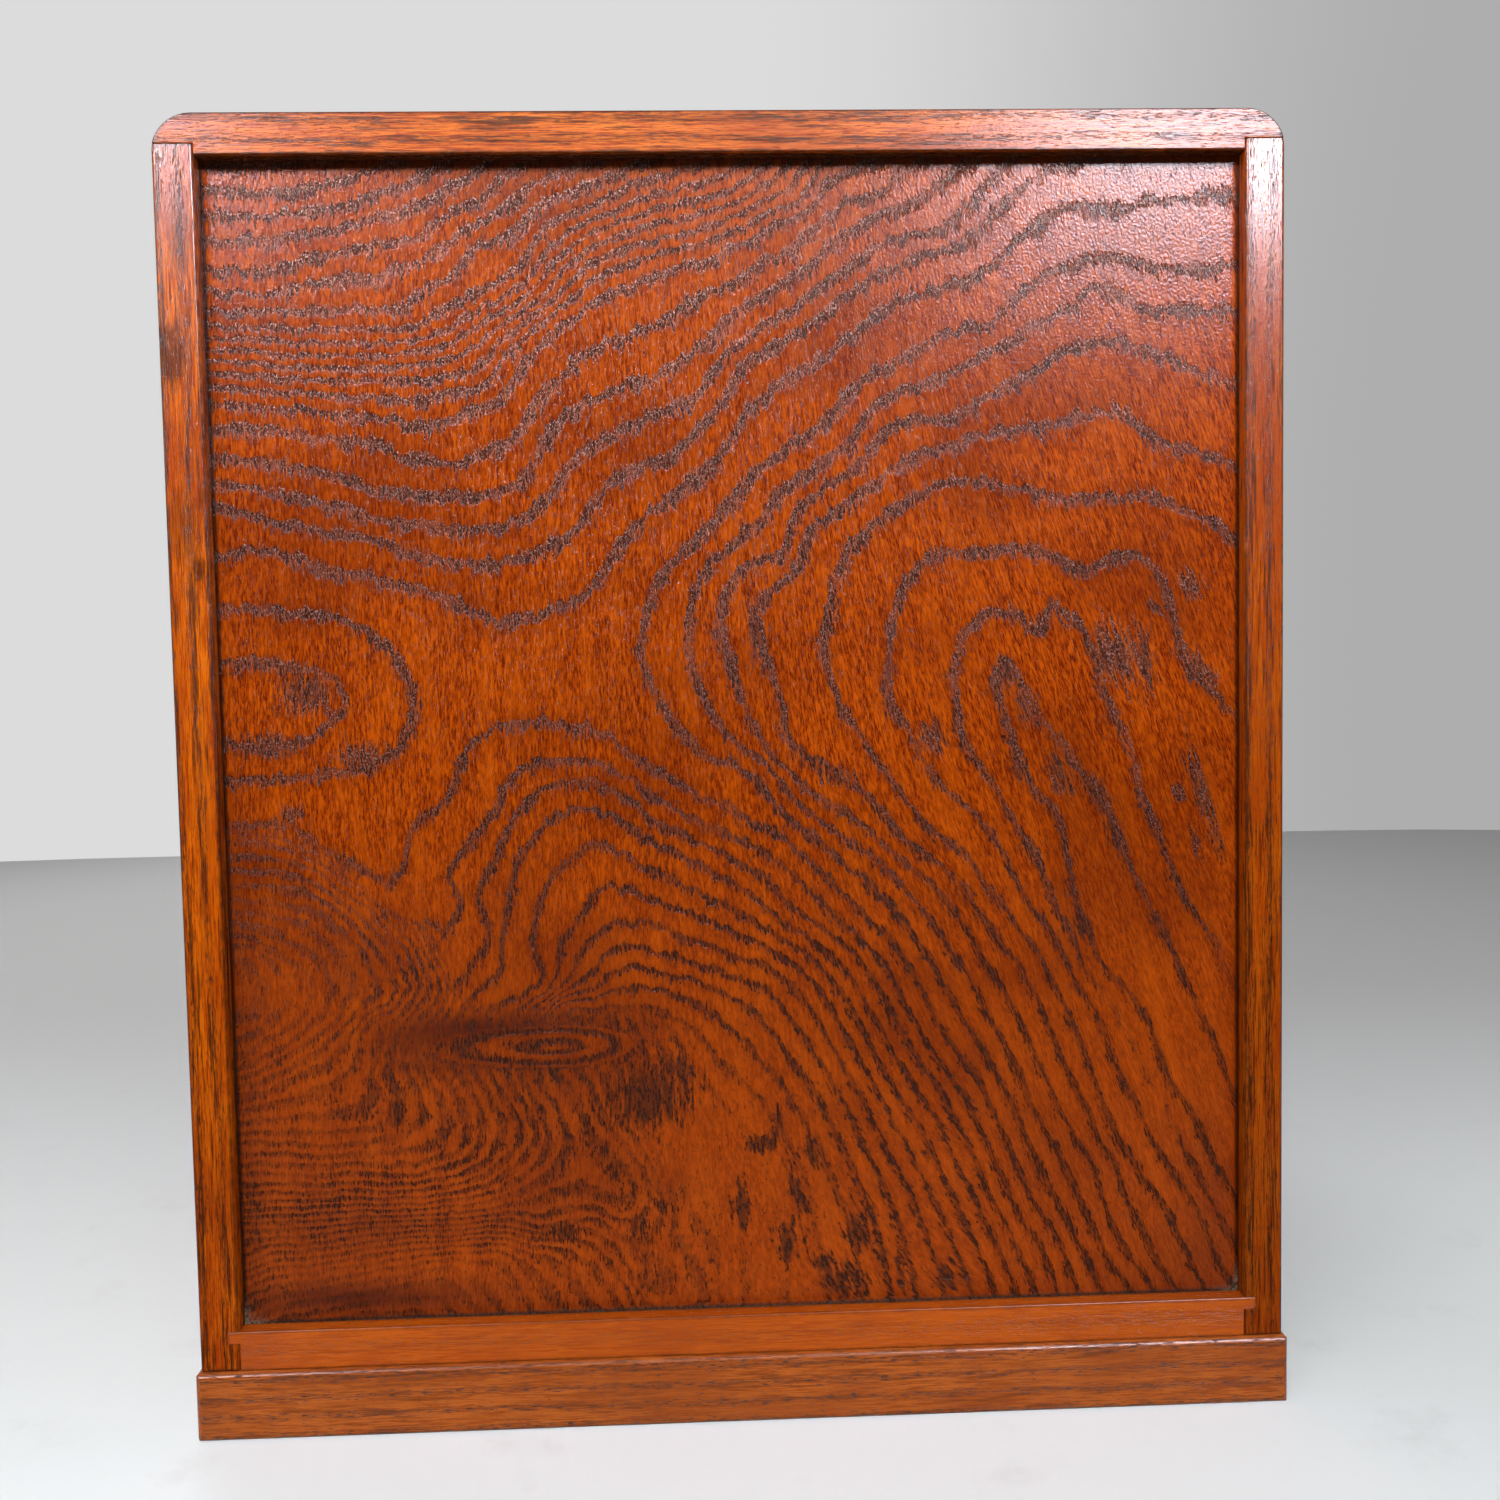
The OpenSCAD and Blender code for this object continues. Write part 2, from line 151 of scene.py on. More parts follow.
# Growth rings as they lie on the panel, drawn one by one: a ring's number, then points on it in whole
# millimetres, to the right of the middle and up from the floor, seen from behind the chest
RINGS = [
    (17, [(-168, 397), (-137, 397), (-118, 401), (-103, 406)]),
    (16, [(-168, 389), (-152, 389), (-137, 391), (-119, 394), (-105, 398), (-87, 406)]),
    (15, [(-168, 379), (-140, 381), (-114, 387), (-100, 389), (-80, 401)]),
    (14, [(-168, 374), (-152, 372), (-137, 375), (-119, 377), (-100, 382), (-80, 394), (-64, 405)]),
    (13, [(-168, 367), (-137, 366), (-119, 367), (-98, 373), (-80, 387), (-62, 397), (-43, 406)]),
    (12, [(-168, 362), (-100, 361), (-80, 372), (-68, 379), (-43, 399), (-18, 409)]),
    (10, [(-168, 355), (-100, 354), (-80, 362), (-68, 369), (-43, 391), (-18, 399), (4, 405)]),
    (8, [(-168, 348), (-100, 345), (-80, 350), (-68, 361), (-43, 381), (-18, 389), (4, 396), (18, 403)]),
    (7, [(-168, 343), (-138, 341), (-100, 338), (-80, 342), (-68, 356), (-43, 376), (-18, 385), (4, 391),
         (24, 400)]),
    (6, [(-168, 338), (-143, 336), (-113, 333), (-90, 332), (-80, 336), (-67, 349), (-55, 361), (-38, 371),
         (-18, 379), (4, 387), (18, 394), (32, 405)]),
    (5, [(-168, 329), (-140, 328), (-113, 323), (-93, 318), (-80, 320), (-67, 330), (-55, 344), (-38, 355),
         (-19, 364), (4, 375), (21, 384), (30, 393), (46, 401)]),
    (4, [(-168, 320), (-137, 316), (-115, 310), (-90, 307), (-68, 312), (-59, 327), (-53, 333), (-30, 343),
         (-10, 354), (4, 366), (20, 376), (32, 385), (48, 395), (66, 403)]),
    (3, [(-168, 311), (-137, 307), (-112, 300), (-90, 297), (-68, 300), (-54, 315), (-40, 326), (-24, 333),
         (-9, 341), (4, 355), (20, 365), (34, 375), (46, 384), (61, 389), (70, 391), (82, 402)]),
    (2, [(-168, 305), (-149, 300), (-118, 294), (-93, 286), (-68, 287), (-52, 296), (-38, 312), (-19, 320),
         (-5, 333), (6, 350), (24, 359), (37, 369), (50, 377), (66, 383), (81, 390), (92, 401)]),
    (1, [(-168, 289), (-149, 291), (-127, 283), (-98, 277), (-78, 267), (-58, 271), (-49, 275), (-35, 294),
         (-19, 307), (-3, 321), (4, 331), (15, 341), (30, 349), (41, 358), (51, 366), (70, 372), (86, 380),
         (100, 391), (108, 397), (126, 397), (136, 399), (157, 401)]),
    (0, [(-18, 230), (-24, 239), (-29, 249), (-30, 265), (-20, 285), (-9, 295), (4, 310), (17, 320),
         (31, 330), (41, 341), (53, 348), (68, 356), (85, 361), (98, 372), (112, 379), (121, 382), (138, 379),
         (158, 377)]),
    (-1, [(-2, 227), (-9, 239), (-14, 250), (-15, 261), (-9, 282), (4, 294), (16, 307), (38, 322), (50, 337),
          (66, 342), (81, 350), (95, 357), (111, 365), (119, 372), (133, 366), (150, 364), (162, 364)]),
    (-2, [(12, 220), (4, 235), (-2, 255), (-4, 266), (1, 281), (17, 289), (21, 301), (35, 311), (52, 328),
          (72, 330), (91, 341), (111, 352), (130, 354), (150, 346), (162, 342)]),
    (-3, [(16, 235), (10, 255), (12, 276), (23, 290), (36, 302), (57, 317), (80, 324), (100, 327), (131, 330),
          (143, 321), (155, 318), (168, 312)]),
    (-4, [(35, 237), (30, 265), (35, 282), (43, 294), (67, 309), (88, 309), (108, 304), (140, 303),
          (161, 294)]),
    (-5, [(52, 236), (52, 265), (60, 282), (80, 287), (100, 287), (115, 281), (125, 284), (133, 284),
          (140, 280), (144, 271), (146, 262), (149, 252), (154, 244), (161, 237), (168, 229)]),
    (-5.5, [(141, 225), (148, 212), (158, 216), (166, 205), (166, 220), (154, 190), (163, 172), (155, 230)]),
    (-6, [(73, 240), (75, 258), (81, 266), (90, 267), (97, 262), (100, 261), (103, 266), (107, 268),
          (112, 265), (117, 258), (121, 247), (124, 236), (129, 227), (132, 218), (134, 208), (138, 198),
          (142, 188), (146, 178), (150, 169), (157, 159), (162, 149), (168, 138)]),
    (-7, [(88, 236), (87, 250), (93, 246), (97, 237), (103, 229), (110, 220), (116, 211), (121, 205),
          (125, 198), (128, 189), (131, 182), (135, 173), (140, 163), (146, 150), (151, 140), (156, 127),
          (162, 113), (168, 101)]),
    (-7.5, [(117, 190), (120, 175), (126, 160), (138, 143), (147, 123), (155, 108), (163, 90)]),
    (0, [(-168, 271), (-145, 271), (-128, 268), (-115, 261), (-107, 250), (-105, 240), (-107, 232),
         (-115, 222), (-130, 218), (-148, 217), (-168, 218)]),
    (-1, [(-168, 253), (-150, 254), (-132, 250), (-127, 243), (-136, 232), (-150, 226), (-168, 230)]),
    (1, [(-168, 201), (-145, 200), (-138, 195), (-125, 187), (-114, 183), (-109, 190), (-107, 200),
         (-95, 210), (-89, 225), (-80, 231), (-68, 234), (-53, 232), (-40, 227), (-28, 218), (-8, 206),
         (3, 201), (17, 192), (31, 178), (42, 167), (56, 149), (66, 129), (78, 112), (87, 93), (96, 71),
         (107, 52), (111, 41)]),
    (2, [(-106, 167), (-100, 167), (-94, 169), (-92, 177), (-95, 182), (-94, 188), (-80, 205), (-68, 219),
         (-55, 221), (-41, 217), (-23, 205), (0, 194), (23, 176), (48, 150), (77, 100), (95, 60), (104, 40)]),
    (3, [(-98, 143), (-90, 152), (-83, 164), (-86, 177), (-80, 189), (-72, 204), (-64, 212), (-50, 214),
         (-36, 208), (0, 186), (18, 170), (41, 150), (70, 100), (88, 60), (97, 40)]),
    (4, [(-85, 147), (-79, 162), (-75, 179), (-73, 189), (-65, 198), (-50, 205), (-38, 200), (-18, 188),
         (0, 178), (34, 150), (63, 100), (82, 60), (90, 40)]),
    (5, [(-77, 142), (-68, 160), (-65, 177), (-55, 188), (-46, 193), (-34, 187), (0, 169), (27, 150),
         (56, 100), (75, 60), (83, 40)]),
    (6, [(-65, 144), (-60, 157), (-52, 169), (-42, 180), (-28, 174), (0, 161), (19, 150), (49, 100), (68, 60),
         (75, 40)]),
    (7, [(-60, 146), (-52, 159), (-45, 165), (-35, 167), (-20, 162), (0, 154), (11, 150), (42, 100), (60, 60),
         (66, 40)]),
    (8, [(-56, 146), (-46, 156), (-36, 159), (-22, 155), (0, 147), (35, 100), (52, 60), (57, 40)]),
    (9, [(-50, 145), (-34, 152), (-20, 148), (-4, 141), (28, 100), (44, 60), (48, 40)]),
    (10, [(-60, 140), (-34, 145), (-16, 140), (-4, 130), (20, 100), (36, 60), (39, 40)]),
    (11, [(-60, 136), (-34, 138), (-20, 133), (-8, 120), (10, 100), (24, 60), (27, 40)]),
    (0, [(0, 218), (13, 204), (41, 180), (64, 150), (73, 134), (91, 100), (110, 60), (119, 40)]),
    (-1, [(10, 218), (25, 201), (51, 180), (73, 150), (82, 134), (98, 100), (117, 60), (128, 40)]),
    (-2, [(25, 208), (36, 201), (61, 180), (82, 150), (91, 134), (106, 100), (124, 60), (136, 40)]),
    (-3, [(30, 217), (46, 204), (58, 190), (66, 184), (76, 174), (85, 160), (93, 150), (99, 138), (104, 125),
          (110, 111), (116, 100), (124, 83), (132, 63), (140, 45)]),
    (-4, [(41, 227), (53, 209), (65, 194), (82, 177), (93, 162), (101, 150), (106, 140), (111, 130),
          (115, 119), (121, 101), (127, 88), (135, 75), (142, 66), (152, 44)]),
    (-5, [(60, 223), (73, 205), (84, 194), (92, 180), (97, 170), (103, 162), (109, 150), (116, 138),
          (121, 128), (125, 116), (128, 109), (132, 103), (137, 91), (140, 84), (148, 73), (155, 60),
          (162, 44)]),
    (-6, [(77, 222), (83, 213), (91, 199), (96, 191), (101, 181), (105, 170), (111, 159), (122, 140),
          (133, 118), (142, 100), (149, 85), (158, 68), (166, 52)]),
    (-7, [(93, 220), (100, 206), (106, 200), (109, 190), (111, 178), (114, 167), (118, 155), (123, 145),
          (130, 139), (134, 134), (137, 129), (139, 122), (142, 115), (145, 106), (151, 99), (155, 90),
          (159, 81), (168, 64)]),
]
# The rings that bend round the foot of the branch, in the lower left of the panel
BRANCH_RINGS = [
    (1, [(-168, 160), (-160, 160), (-152, 148), (-160, 136), (-168, 134)]),
    (2, [(-168, 166), (-155, 162), (-143, 154), (-140, 147), (-143, 139), (-152, 132), (-168, 124)]),
    (3, [(-168, 173), (-149, 170), (-139, 163), (-131, 154), (-130, 146), (-136, 136), (-147, 128),
         (-168, 119)]),
    (4, [(-168, 179), (-149, 177), (-137, 174), (-124, 162), (-118, 149), (-119, 142), (-127, 137),
         (-135, 128), (-147, 121), (-168, 114)]),
    (5, [(-168, 187), (-149, 186), (-137, 181), (-123, 169), (-114, 158), (-110, 149), (-113, 142),
         (-121, 138), (-126, 131), (-127, 124), (-133, 117), (-145, 112), (-168, 107)]),
    (6, [(-168, 195), (-150, 193), (-136, 187), (-120, 175), (-109, 162), (-104, 150), (-108, 141),
         (-115, 132), (-119, 120), (-116, 107), (-125, 102), (-145, 101), (-168, 101)]),
    (7, [(-140, 194), (-126, 183), (-112, 170), (-103, 157), (-99, 146), (-105, 137), (-110, 130),
         (-109, 117), (-105, 108), (-107, 100), (-117, 96), (-149, 95), (-168, 96)]),
    (8, [(-100, 160), (-95, 146), (-100, 135), (-104, 122), (-97, 112), (-93, 102), (-95, 94), (-107, 89),
         (-130, 89), (-168, 90)]),
    (9, [(-90, 142), (-96, 131), (-90, 116), (-86, 107), (-85, 97), (-91, 88), (-104, 84), (-130, 84),
         (-168, 85)]),
    (10, [(-85, 132), (-86, 122), (-79, 110), (-74, 100), (-77, 91), (-90, 82), (-107, 79), (-140, 79),
          (-168, 79)]),
    (11, [(-76, 118), (-71, 108), (-67, 98), (-69, 90), (-78, 82), (-92, 77), (-120, 75), (-168, 74)]),
    (12, [(-66, 114), (-60, 104), (-57, 94), (-61, 86), (-72, 78), (-90, 73), (-120, 72)]),
    (13, [(-52, 112), (-47, 100), (-40, 91), (-34, 82), (-33, 72), (-42, 67), (-68, 70), (-130, 69),
          (-168, 68)]),
    (14, [(-38, 100), (-30, 84), (-27, 70), (-30, 58), (-37, 45)]),
    (14, [(-48, 64), (-68, 64), (-100, 66), (-140, 64), (-168, 60)]),
    (15, [(-40, 44), (-46, 52), (-56, 60), (-68, 61), (-100, 63), (-140, 60)]),
    (16, [(-52, 43), (-58, 51), (-66, 56), (-80, 60), (-110, 60), (-140, 56)]),
    (17, [(-68, 43), (-74, 51), (-82, 57), (-110, 56), (-140, 52), (-160, 50)]),
    (18, [(-84, 42), (-91, 49), (-98, 53), (-120, 50), (-150, 46)]),
]
# Where the branch's rings meet the others
BRANCH_EDGE = [
    (-180, 200), (-150, 197), (-137, 190), (-122, 178), (-110, 170), (-101, 160), (-96, 150), (-92, 141),
    (-80, 137), (-60, 136), (-35, 138), (-18, 130), (-14, 118), (-18, 104), (-14, 90), (-8, 80), (-8, 20),
    (-180, 20),
]
# Broad open-pored patches: middle, half width, half height, and how far the foot leans to the right
PATCHES = [
    (-31, 109, 16, 11, 0), (-22, 117, 5, 7, 0), (-122, 223, 10, 5, 0), (-140, 244, 10, 7, 0),
    (-153, 228, 9, 4, 0),
    (126, 252, 7, 11, 3), (135, 251, 4, 12, 3), (125, 234, 2, 4, 1), (120, 206, 4, 7, 3), (126, 193, 3, 9, 2),
    (115, 162, 3, 6, 2), (155, 246, 4, 8, 4), (155, 206, 3, 20, 6), (153, 188, 2, 6, 2), (147, 205, 2, 4, 1),
    (107, 213, 4, 8, 3), (151, 275, 4, 5, 1), (139, 268, 3, 3, 2), (33, 214, 7, 4, 3), (86, 158, 2, 5, 2),
    (4, 91, 7, 3, 0), (11, 97, 2, 8, 0), (-1, 69, 4, 9, 1), (18, 72, 3, 12, 1), (14, 57, 4, 8, 1),
    (37, 62, 5, 8, 1), (33, 43, 8, 7, 1), (26, 49, 5, 4, 1), (-35, 64, 4, 5, 1), (-28, 71, 4, 3, 1),
    (68, 44, 3, 8, 1), (52, 46, 2, 9, 1), (-115, 107, 3, 6, 0), (-61, 63, 8, 3, 0), (7, 262, 3, 12, 1),
    (22, 87, 3, 6, 1), (93, 215, 2, 5, 1), (-146, 205, 4, 4, 0), (65, 226, 5, 6, 2),
]
# Places where the rings fade: middle, reach across, reach up, and how much of their strength goes
FADES = [
    (-4, 84, 17, 32, 0.95), (14, 60, 16, 24, 0.9), (-24, 92, 12, 16, 0.8), (124, 138, 3, 5, 1.0),
    (129, 127, 3.5, 6, 1.0), (134, 116, 3.5, 6, 1.0), (140, 104, 3.5, 6, 1.0), (145, 93, 3, 5, 0.9),
    (117, 148, 2, 5, 0.6), (168, 130, 6, 26, 0.6), (162, 150, 5, 12, 0.5), (110, 222, 6, 6, 0.5),
    (-66, 252, 30, 10, 0.3), (-130, 205, 24, 7, 0.4), (-150, 148, 26, 40, 0.5), (-115, 54, 60, 12, 0.5),
    (-140, 95, 30, 16, 0.25), (62, 220, 5, 9, 0.6),
    (-70, 44, 60, 6, 0.3), (-98, 127, 20, 8, 0.75), (128, 222, 7, 8, 0.6), (166, 228, 7, 6, 0.6),
]
# Dark heartwood shades that follow no ring: middle, reach across, reach up, strength
SHADES = [
    (-84, 133, 34, 5, 1.0), (-80, 120, 34, 3, 0.6), (-108, 126, 18, 8, 0.5), (-128, 43, 40, 5, 1.0),
    (-95, 66, 55, 6, 0.35),
    (-163, 120, 5, 120, 0.35), (-140, 66, 30, 22, 0.3), (160, 60, 14, 40, 0.4), (-20, 36, 160, 4, 0.35),
]
# Pale dust in the lower corners of the recess: middle, reach across, reach up, strength
DUST = [(-167, 36, 7, 1.2, 0.6), (-167, 38, 1.4, 4, 0.5), (167, 36, 6, 1.2, 0.45), (167, 39, 1.2, 4, 0.4),
        (0, 35, 170, 0.8, 0.25)]
# The branch itself, cut lengthwise: an oval of rings round this middle
BRANCH_MIDDLE = (-61, 126)
# Its reach to the left and to the right, and up or down
BRANCH_REACH = (52.5, 31.5)
BRANCH_HEIGHT = 9
# How many rings there are for each one drawn round the foot of the branch
BRANCH_FINENESS = 1.6


def thin_plate(rings, s, z, ease=2e-4):
    """Ring number at every point: a thin-plate spline, which is a plane plus bumps of r r log(r) / 2 round
    every drawn point, with the bumps' weights solved so that the sheet passes close by all of them."""
    drawn = np.array([point for _, points in rings for point in points], float) / 100
    value = np.array([number for number, points in rings for _ in points], float)
    count = len(drawn)
    apart = ((drawn[:, None] - drawn[None]) ** 2).sum(-1)
    bumps = 0.5 * apart * np.log(apart + 1e-12) + ease * np.eye(count)
    plane = np.column_stack([np.ones(count), drawn])
    system = np.block([[bumps, plane], [plane.T, np.zeros((3, 3))]])
    weights = np.linalg.solve(system, np.concatenate([value, np.zeros(3)]))
    here = np.column_stack([s.ravel(), z.ravel()]) / 100
    sheet = weights[-3] + here @ weights[-2:]
    for k in range(0, count, 32):
        apart = ((here[:, None] - drawn[None, k:k + 32]) ** 2).sum(-1)
        sheet += (0.5 * apart * np.log(apart + 1e-12)) @ weights[k:k + 32][:apart.shape[1]]
    return sheet.reshape(s.shape)


def inside_depth(edge, s, z):
    """Signed distance to a closed line: the least distance to its stretches, positive where an even-odd
    count of crossings says that the point is inside."""
    a = np.array(edge, float)
    b = np.roll(a, -1, axis=0)
    here = np.column_stack([s.ravel(), z.ravel()])[:, None]
    run = b - a
    share = np.clip(((here - a) * run).sum(-1) / (run ** 2).sum(-1), 0, 1)
    least = np.sqrt((((here - a) - share[..., None] * run) ** 2).sum(-1)).min(1)
    over = (a[:, 1] > here[..., 1]) != (b[:, 1] > here[..., 1])
    crossing = a[:, 0] + (here[..., 1] - a[:, 1]) * run[:, 0] / np.where(run[:, 1] == 0, 1, run[:, 1])
    inside = (over & (here[..., 0] < crossing)).sum(1) % 2 == 1
    return np.where(inside, least, -least).reshape(s.shape)


def oval_sum(ovals, s, z):
    """Sum of soft ovals: strength times e to the minus square of the distance in reaches."""
    total = np.zeros_like(s)
    for middle_s, middle_z, reach_s, reach_z, strength in ovals:
        total += strength * np.exp(-((s - middle_s) / reach_s) ** 2 - ((z - middle_z) / reach_z) ** 2)
    return total


def patch_height(s, z):
    """Height of the open-pored patches: for each, 1 less its distance in half sizes, and the tallest wins."""
    tallest = np.full_like(s, -1.0)
    for middle_s, middle_z, half_s, half_z, lean in PATCHES:
        above = (z - middle_z) / half_z
        across = (s - middle_s + lean * above) / half_s
        tallest = np.maximum(tallest, 1 - np.hypot(across, above))
    return tallest


def panel_figure(s, z):
    """All that the panel's finish reads from its mesh, as one value at each point. The slope is the change of
    the ring number per millimetre up the panel, eased towards 0.15. Half a band is 1 mm of wood as a share of
    a ring, or up to 1.6 mm in the pale part at the top, and stays between 0.05 and about 0.2 of a ring."""
    branch = inside_depth(BRANCH_EDGE, s, z)
    mask = np.clip(branch / 3 + 0.5, 0, 1)
    ring, branch_ring = thin_plate(RINGS, s, z), BRANCH_FINENESS * thin_plate(BRANCH_RINGS, s, z)
    slopes = [np.gradient(r, z[1, 0] - z[0, 0], s[0, 1] - s[0, 0]) for r in (ring, branch_ring)]
    up, over = [a + (b - a) * mask for a, b in zip(*slopes)]
    beside, above = s - BRANCH_MIDDLE[0], z - BRANCH_MIDDLE[1]
    oval = np.hypot(beside / np.where(beside < 0, *BRANCH_REACH), above / BRANCH_HEIGHT)
    lean = np.clip((s + 40) / 120, 0, 1) ** 1.3
    # Painted reflection: high on the panel, where the glare falls, pale makes the bands wider and gives them
    # a painted sheen and painted glints
    pale = np.clip((z + 0.25 * np.abs(s) - 165) / 125, 0, 1)
    from_top = RECESS_TOP / MM - z
    return {
        "ring": ring,
        "branch_ring": branch_ring,
        "branch": mask,
        "slope": up / (1 + np.abs(up) / 0.15),
        "half_band": np.clip((1.0 + 0.6 * pale) * np.hypot(up, over), 0.05, 0.18 + 0.035 * pale),
        "pale": pale,
        "oval": np.interp(oval, [0, 0.24, 0.44, 0.62, 0.80, 0.90, 1.05], [0.4, 1.0, 1.5, 2.0, 2.5, 3.0, 3.6]),
        "in_oval": np.clip((1.0 - oval) / 0.3, 0, 1),
        "across_grain": (s - 0.30 * lean * (250 - z)) * MM,
        "patch": patch_height(s, z),
        "shade": np.clip(oval_sum(SHADES, s, z), 0, 1.2),
        "fade": np.clip(1 - oval_sum(FADES, s, z), 0.05, 1) * (1 - 0.4 * np.exp(-(branch / 3) ** 2)),
        "from_edge": np.minimum(RECESS_SIDE / MM - np.abs(s), np.minimum(from_top, z - RECESS_FOOT / MM)),
        "from_top": from_top,
        "dust": oval_sum(DUST, s, z),
    }


# Making meshes

def new_piece(name, verts, faces, material, smooth=True):
    """A mesh object at the origin from arrays of points and quads, shaded smooth or flat."""
    mesh = bpy.data.meshes.new(name)
    mesh.from_pydata(np.asarray(verts, float).reshape(-1, 3), [], np.asarray(faces, int).tolist())
    mesh.polygons.foreach_set("use_smooth", np.full(len(mesh.polygons), smooth))
    mesh.update()
    return placed(name, mesh, material)


def placed(name, mesh, material):
    """A mesh with its material, as an object of the scene."""
    mesh.materials.append(material)
    piece = bpy.data.objects.new(name, mesh)
    bpy.context.scene.collection.objects.link(piece)
    return piece


def store(piece, name, values):
    """One value at each point of a piece, for its finish to read."""
    layer = piece.data.attributes.new(name, "FLOAT", "POINT")
    layer.data.foreach_set("value", np.asarray(values, np.float32).ravel())


def grid_faces(rows, columns, wrap_columns=False, start=0):
    """Quads of a grid of points stored row by row: each joins a point with the next ones in both ways."""
    row = np.arange(rows - 1)[:, None]
    column = np.arange(columns if wrap_columns else columns - 1)[None]
    after = (column + 1) % columns
    corners = [(row + r) * columns + c for r, c in ((0, column), (0, after), (1, after), (1, column))]
    return np.stack([np.broadcast_to(c, (rows - 1, column.size)) for c in corners], -1).reshape(-1, 4) + start


def turned(outline, sides, centre, along, first):
    """A turned form: each outline point (distance out, height along the axis) goes round the axis in equal
    steps of angle from the first way, and the ends close on points where the distance is 0."""
    out, height = np.asarray(outline, float).T
    angle = around(sides)
    ring = np.cos(angle)[:, None] * np.array(first) + np.sin(angle)[:, None] * np.cross(along, first)
    points = np.array(centre) + height[:, None, None] * np.array(along) + out[:, None, None] * ring[None]
    return points.reshape(-1, 3), grid_faces(len(out), sides, True)


def around(sides):
    """Equal steps of angle round a whole turn."""
    return np.arange(sides) * 2 * np.pi / sides


def joined(parts):
    """Several (points, faces) as one, with the faces numbered on."""
    counts = np.cumsum([0] + [len(points) for points, _ in parts])
    return (np.concatenate([points for points, _ in parts]),
            np.concatenate([faces + count for (_, faces), count in zip(parts, counts)]))


def tidy_shell(piece):
    """Merges doubled points, drops faces without area and turns every face outwards."""
    work = bmesh.new()
    work.from_mesh(piece.data)
    bmesh.ops.remove_doubles(work, verts=work.verts, dist=1e-7)
    bmesh.ops.dissolve_degenerate(work, edges=work.edges, dist=1e-7)
    bmesh.ops.recalc_face_normals(work, faces=work.faces)
    work.to_mesh(piece.data)
    work.free()
    piece.data.update()
    return piece


def fit(piece, node):
    """The piece stands for a CAD node: it rides on the node's body, and the node is hidden."""
    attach(piece, frame["nodes"][node]["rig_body"])
    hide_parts(node)


def eased_board(node, material, arris):
    """A copy of a CAD board, in its place, whose sharp outer edges are eased by a small round arris."""
    work = bmesh.new()
    work.from_mesh(frame["nodes"][node].data)
    bmesh.ops.remove_doubles(work, verts=work.verts, dist=2e-6)
    bmesh.ops.dissolve_limit(work, angle_limit=math.radians(0.5), verts=work.verts, edges=work.edges)
    sharp = [e for e in work.edges if len(e.link_faces) == 2 and e.calc_face_angle_signed(0) > SHARP_EDGE]
    bmesh.ops.bevel(work, geom=sharp, offset=arris, offset_type="OFFSET", segments=3, profile=0.5,
                    affect="EDGES", clamp_overlap=True)
    mesh = bpy.data.meshes.new(node + "_eased")
    work.to_mesh(mesh)
    work.free()
    mesh.polygons.foreach_set("use_smooth", np.ones(len(mesh.polygons), bool))
    piece = placed(node + "_eased", mesh, material)
    piece.modifiers.new("even normals", "WEIGHTED_NORMAL").weight = 80
    fit(piece, node)


# Finishes

def arithmetic(operation, swapped=False):
    """A method of Value that adds a Math node with this operation."""
    def method(self, other=0.0):
        first, second = (other, self) if swapped else (self, other)
        return self.shading.out("Math", {0: first, 1: second}, operation=operation)
    return method


class Value:
    """What comes out of a node. Sums with it add Math nodes, so that a finish reads as a formula."""
    __add__ = __radd__ = arithmetic("ADD")
    __mul__ = __rmul__ = arithmetic("MULTIPLY")
    __sub__ = arithmetic("SUBTRACT")
    __rsub__ = arithmetic("SUBTRACT", swapped=True)
    __truediv__ = arithmetic("DIVIDE")
    __abs__ = arithmetic("ABSOLUTE")
    root = arithmetic("SQRT")
    sign = arithmetic("SIGN")
    fraction = arithmetic("FRACT")
    least = arithmetic("MINIMUM")
    most = arithmetic("MAXIMUM")

    def __init__(self, shading, socket):
        self.shading, self.socket = shading, socket

    def step(self, low, high, to=(0.0, 1.0), kind="SMOOTHSTEP"):
        """Soft step between two levels, or a straight slope where the kind is LINEAR."""
        inputs = {"Value": self, "From Min": low, "From Max": high, "To Min": to[0], "To Max": to[1]}
        return self.shading.out("MapRange", inputs, "Result", interpolation_type=kind)


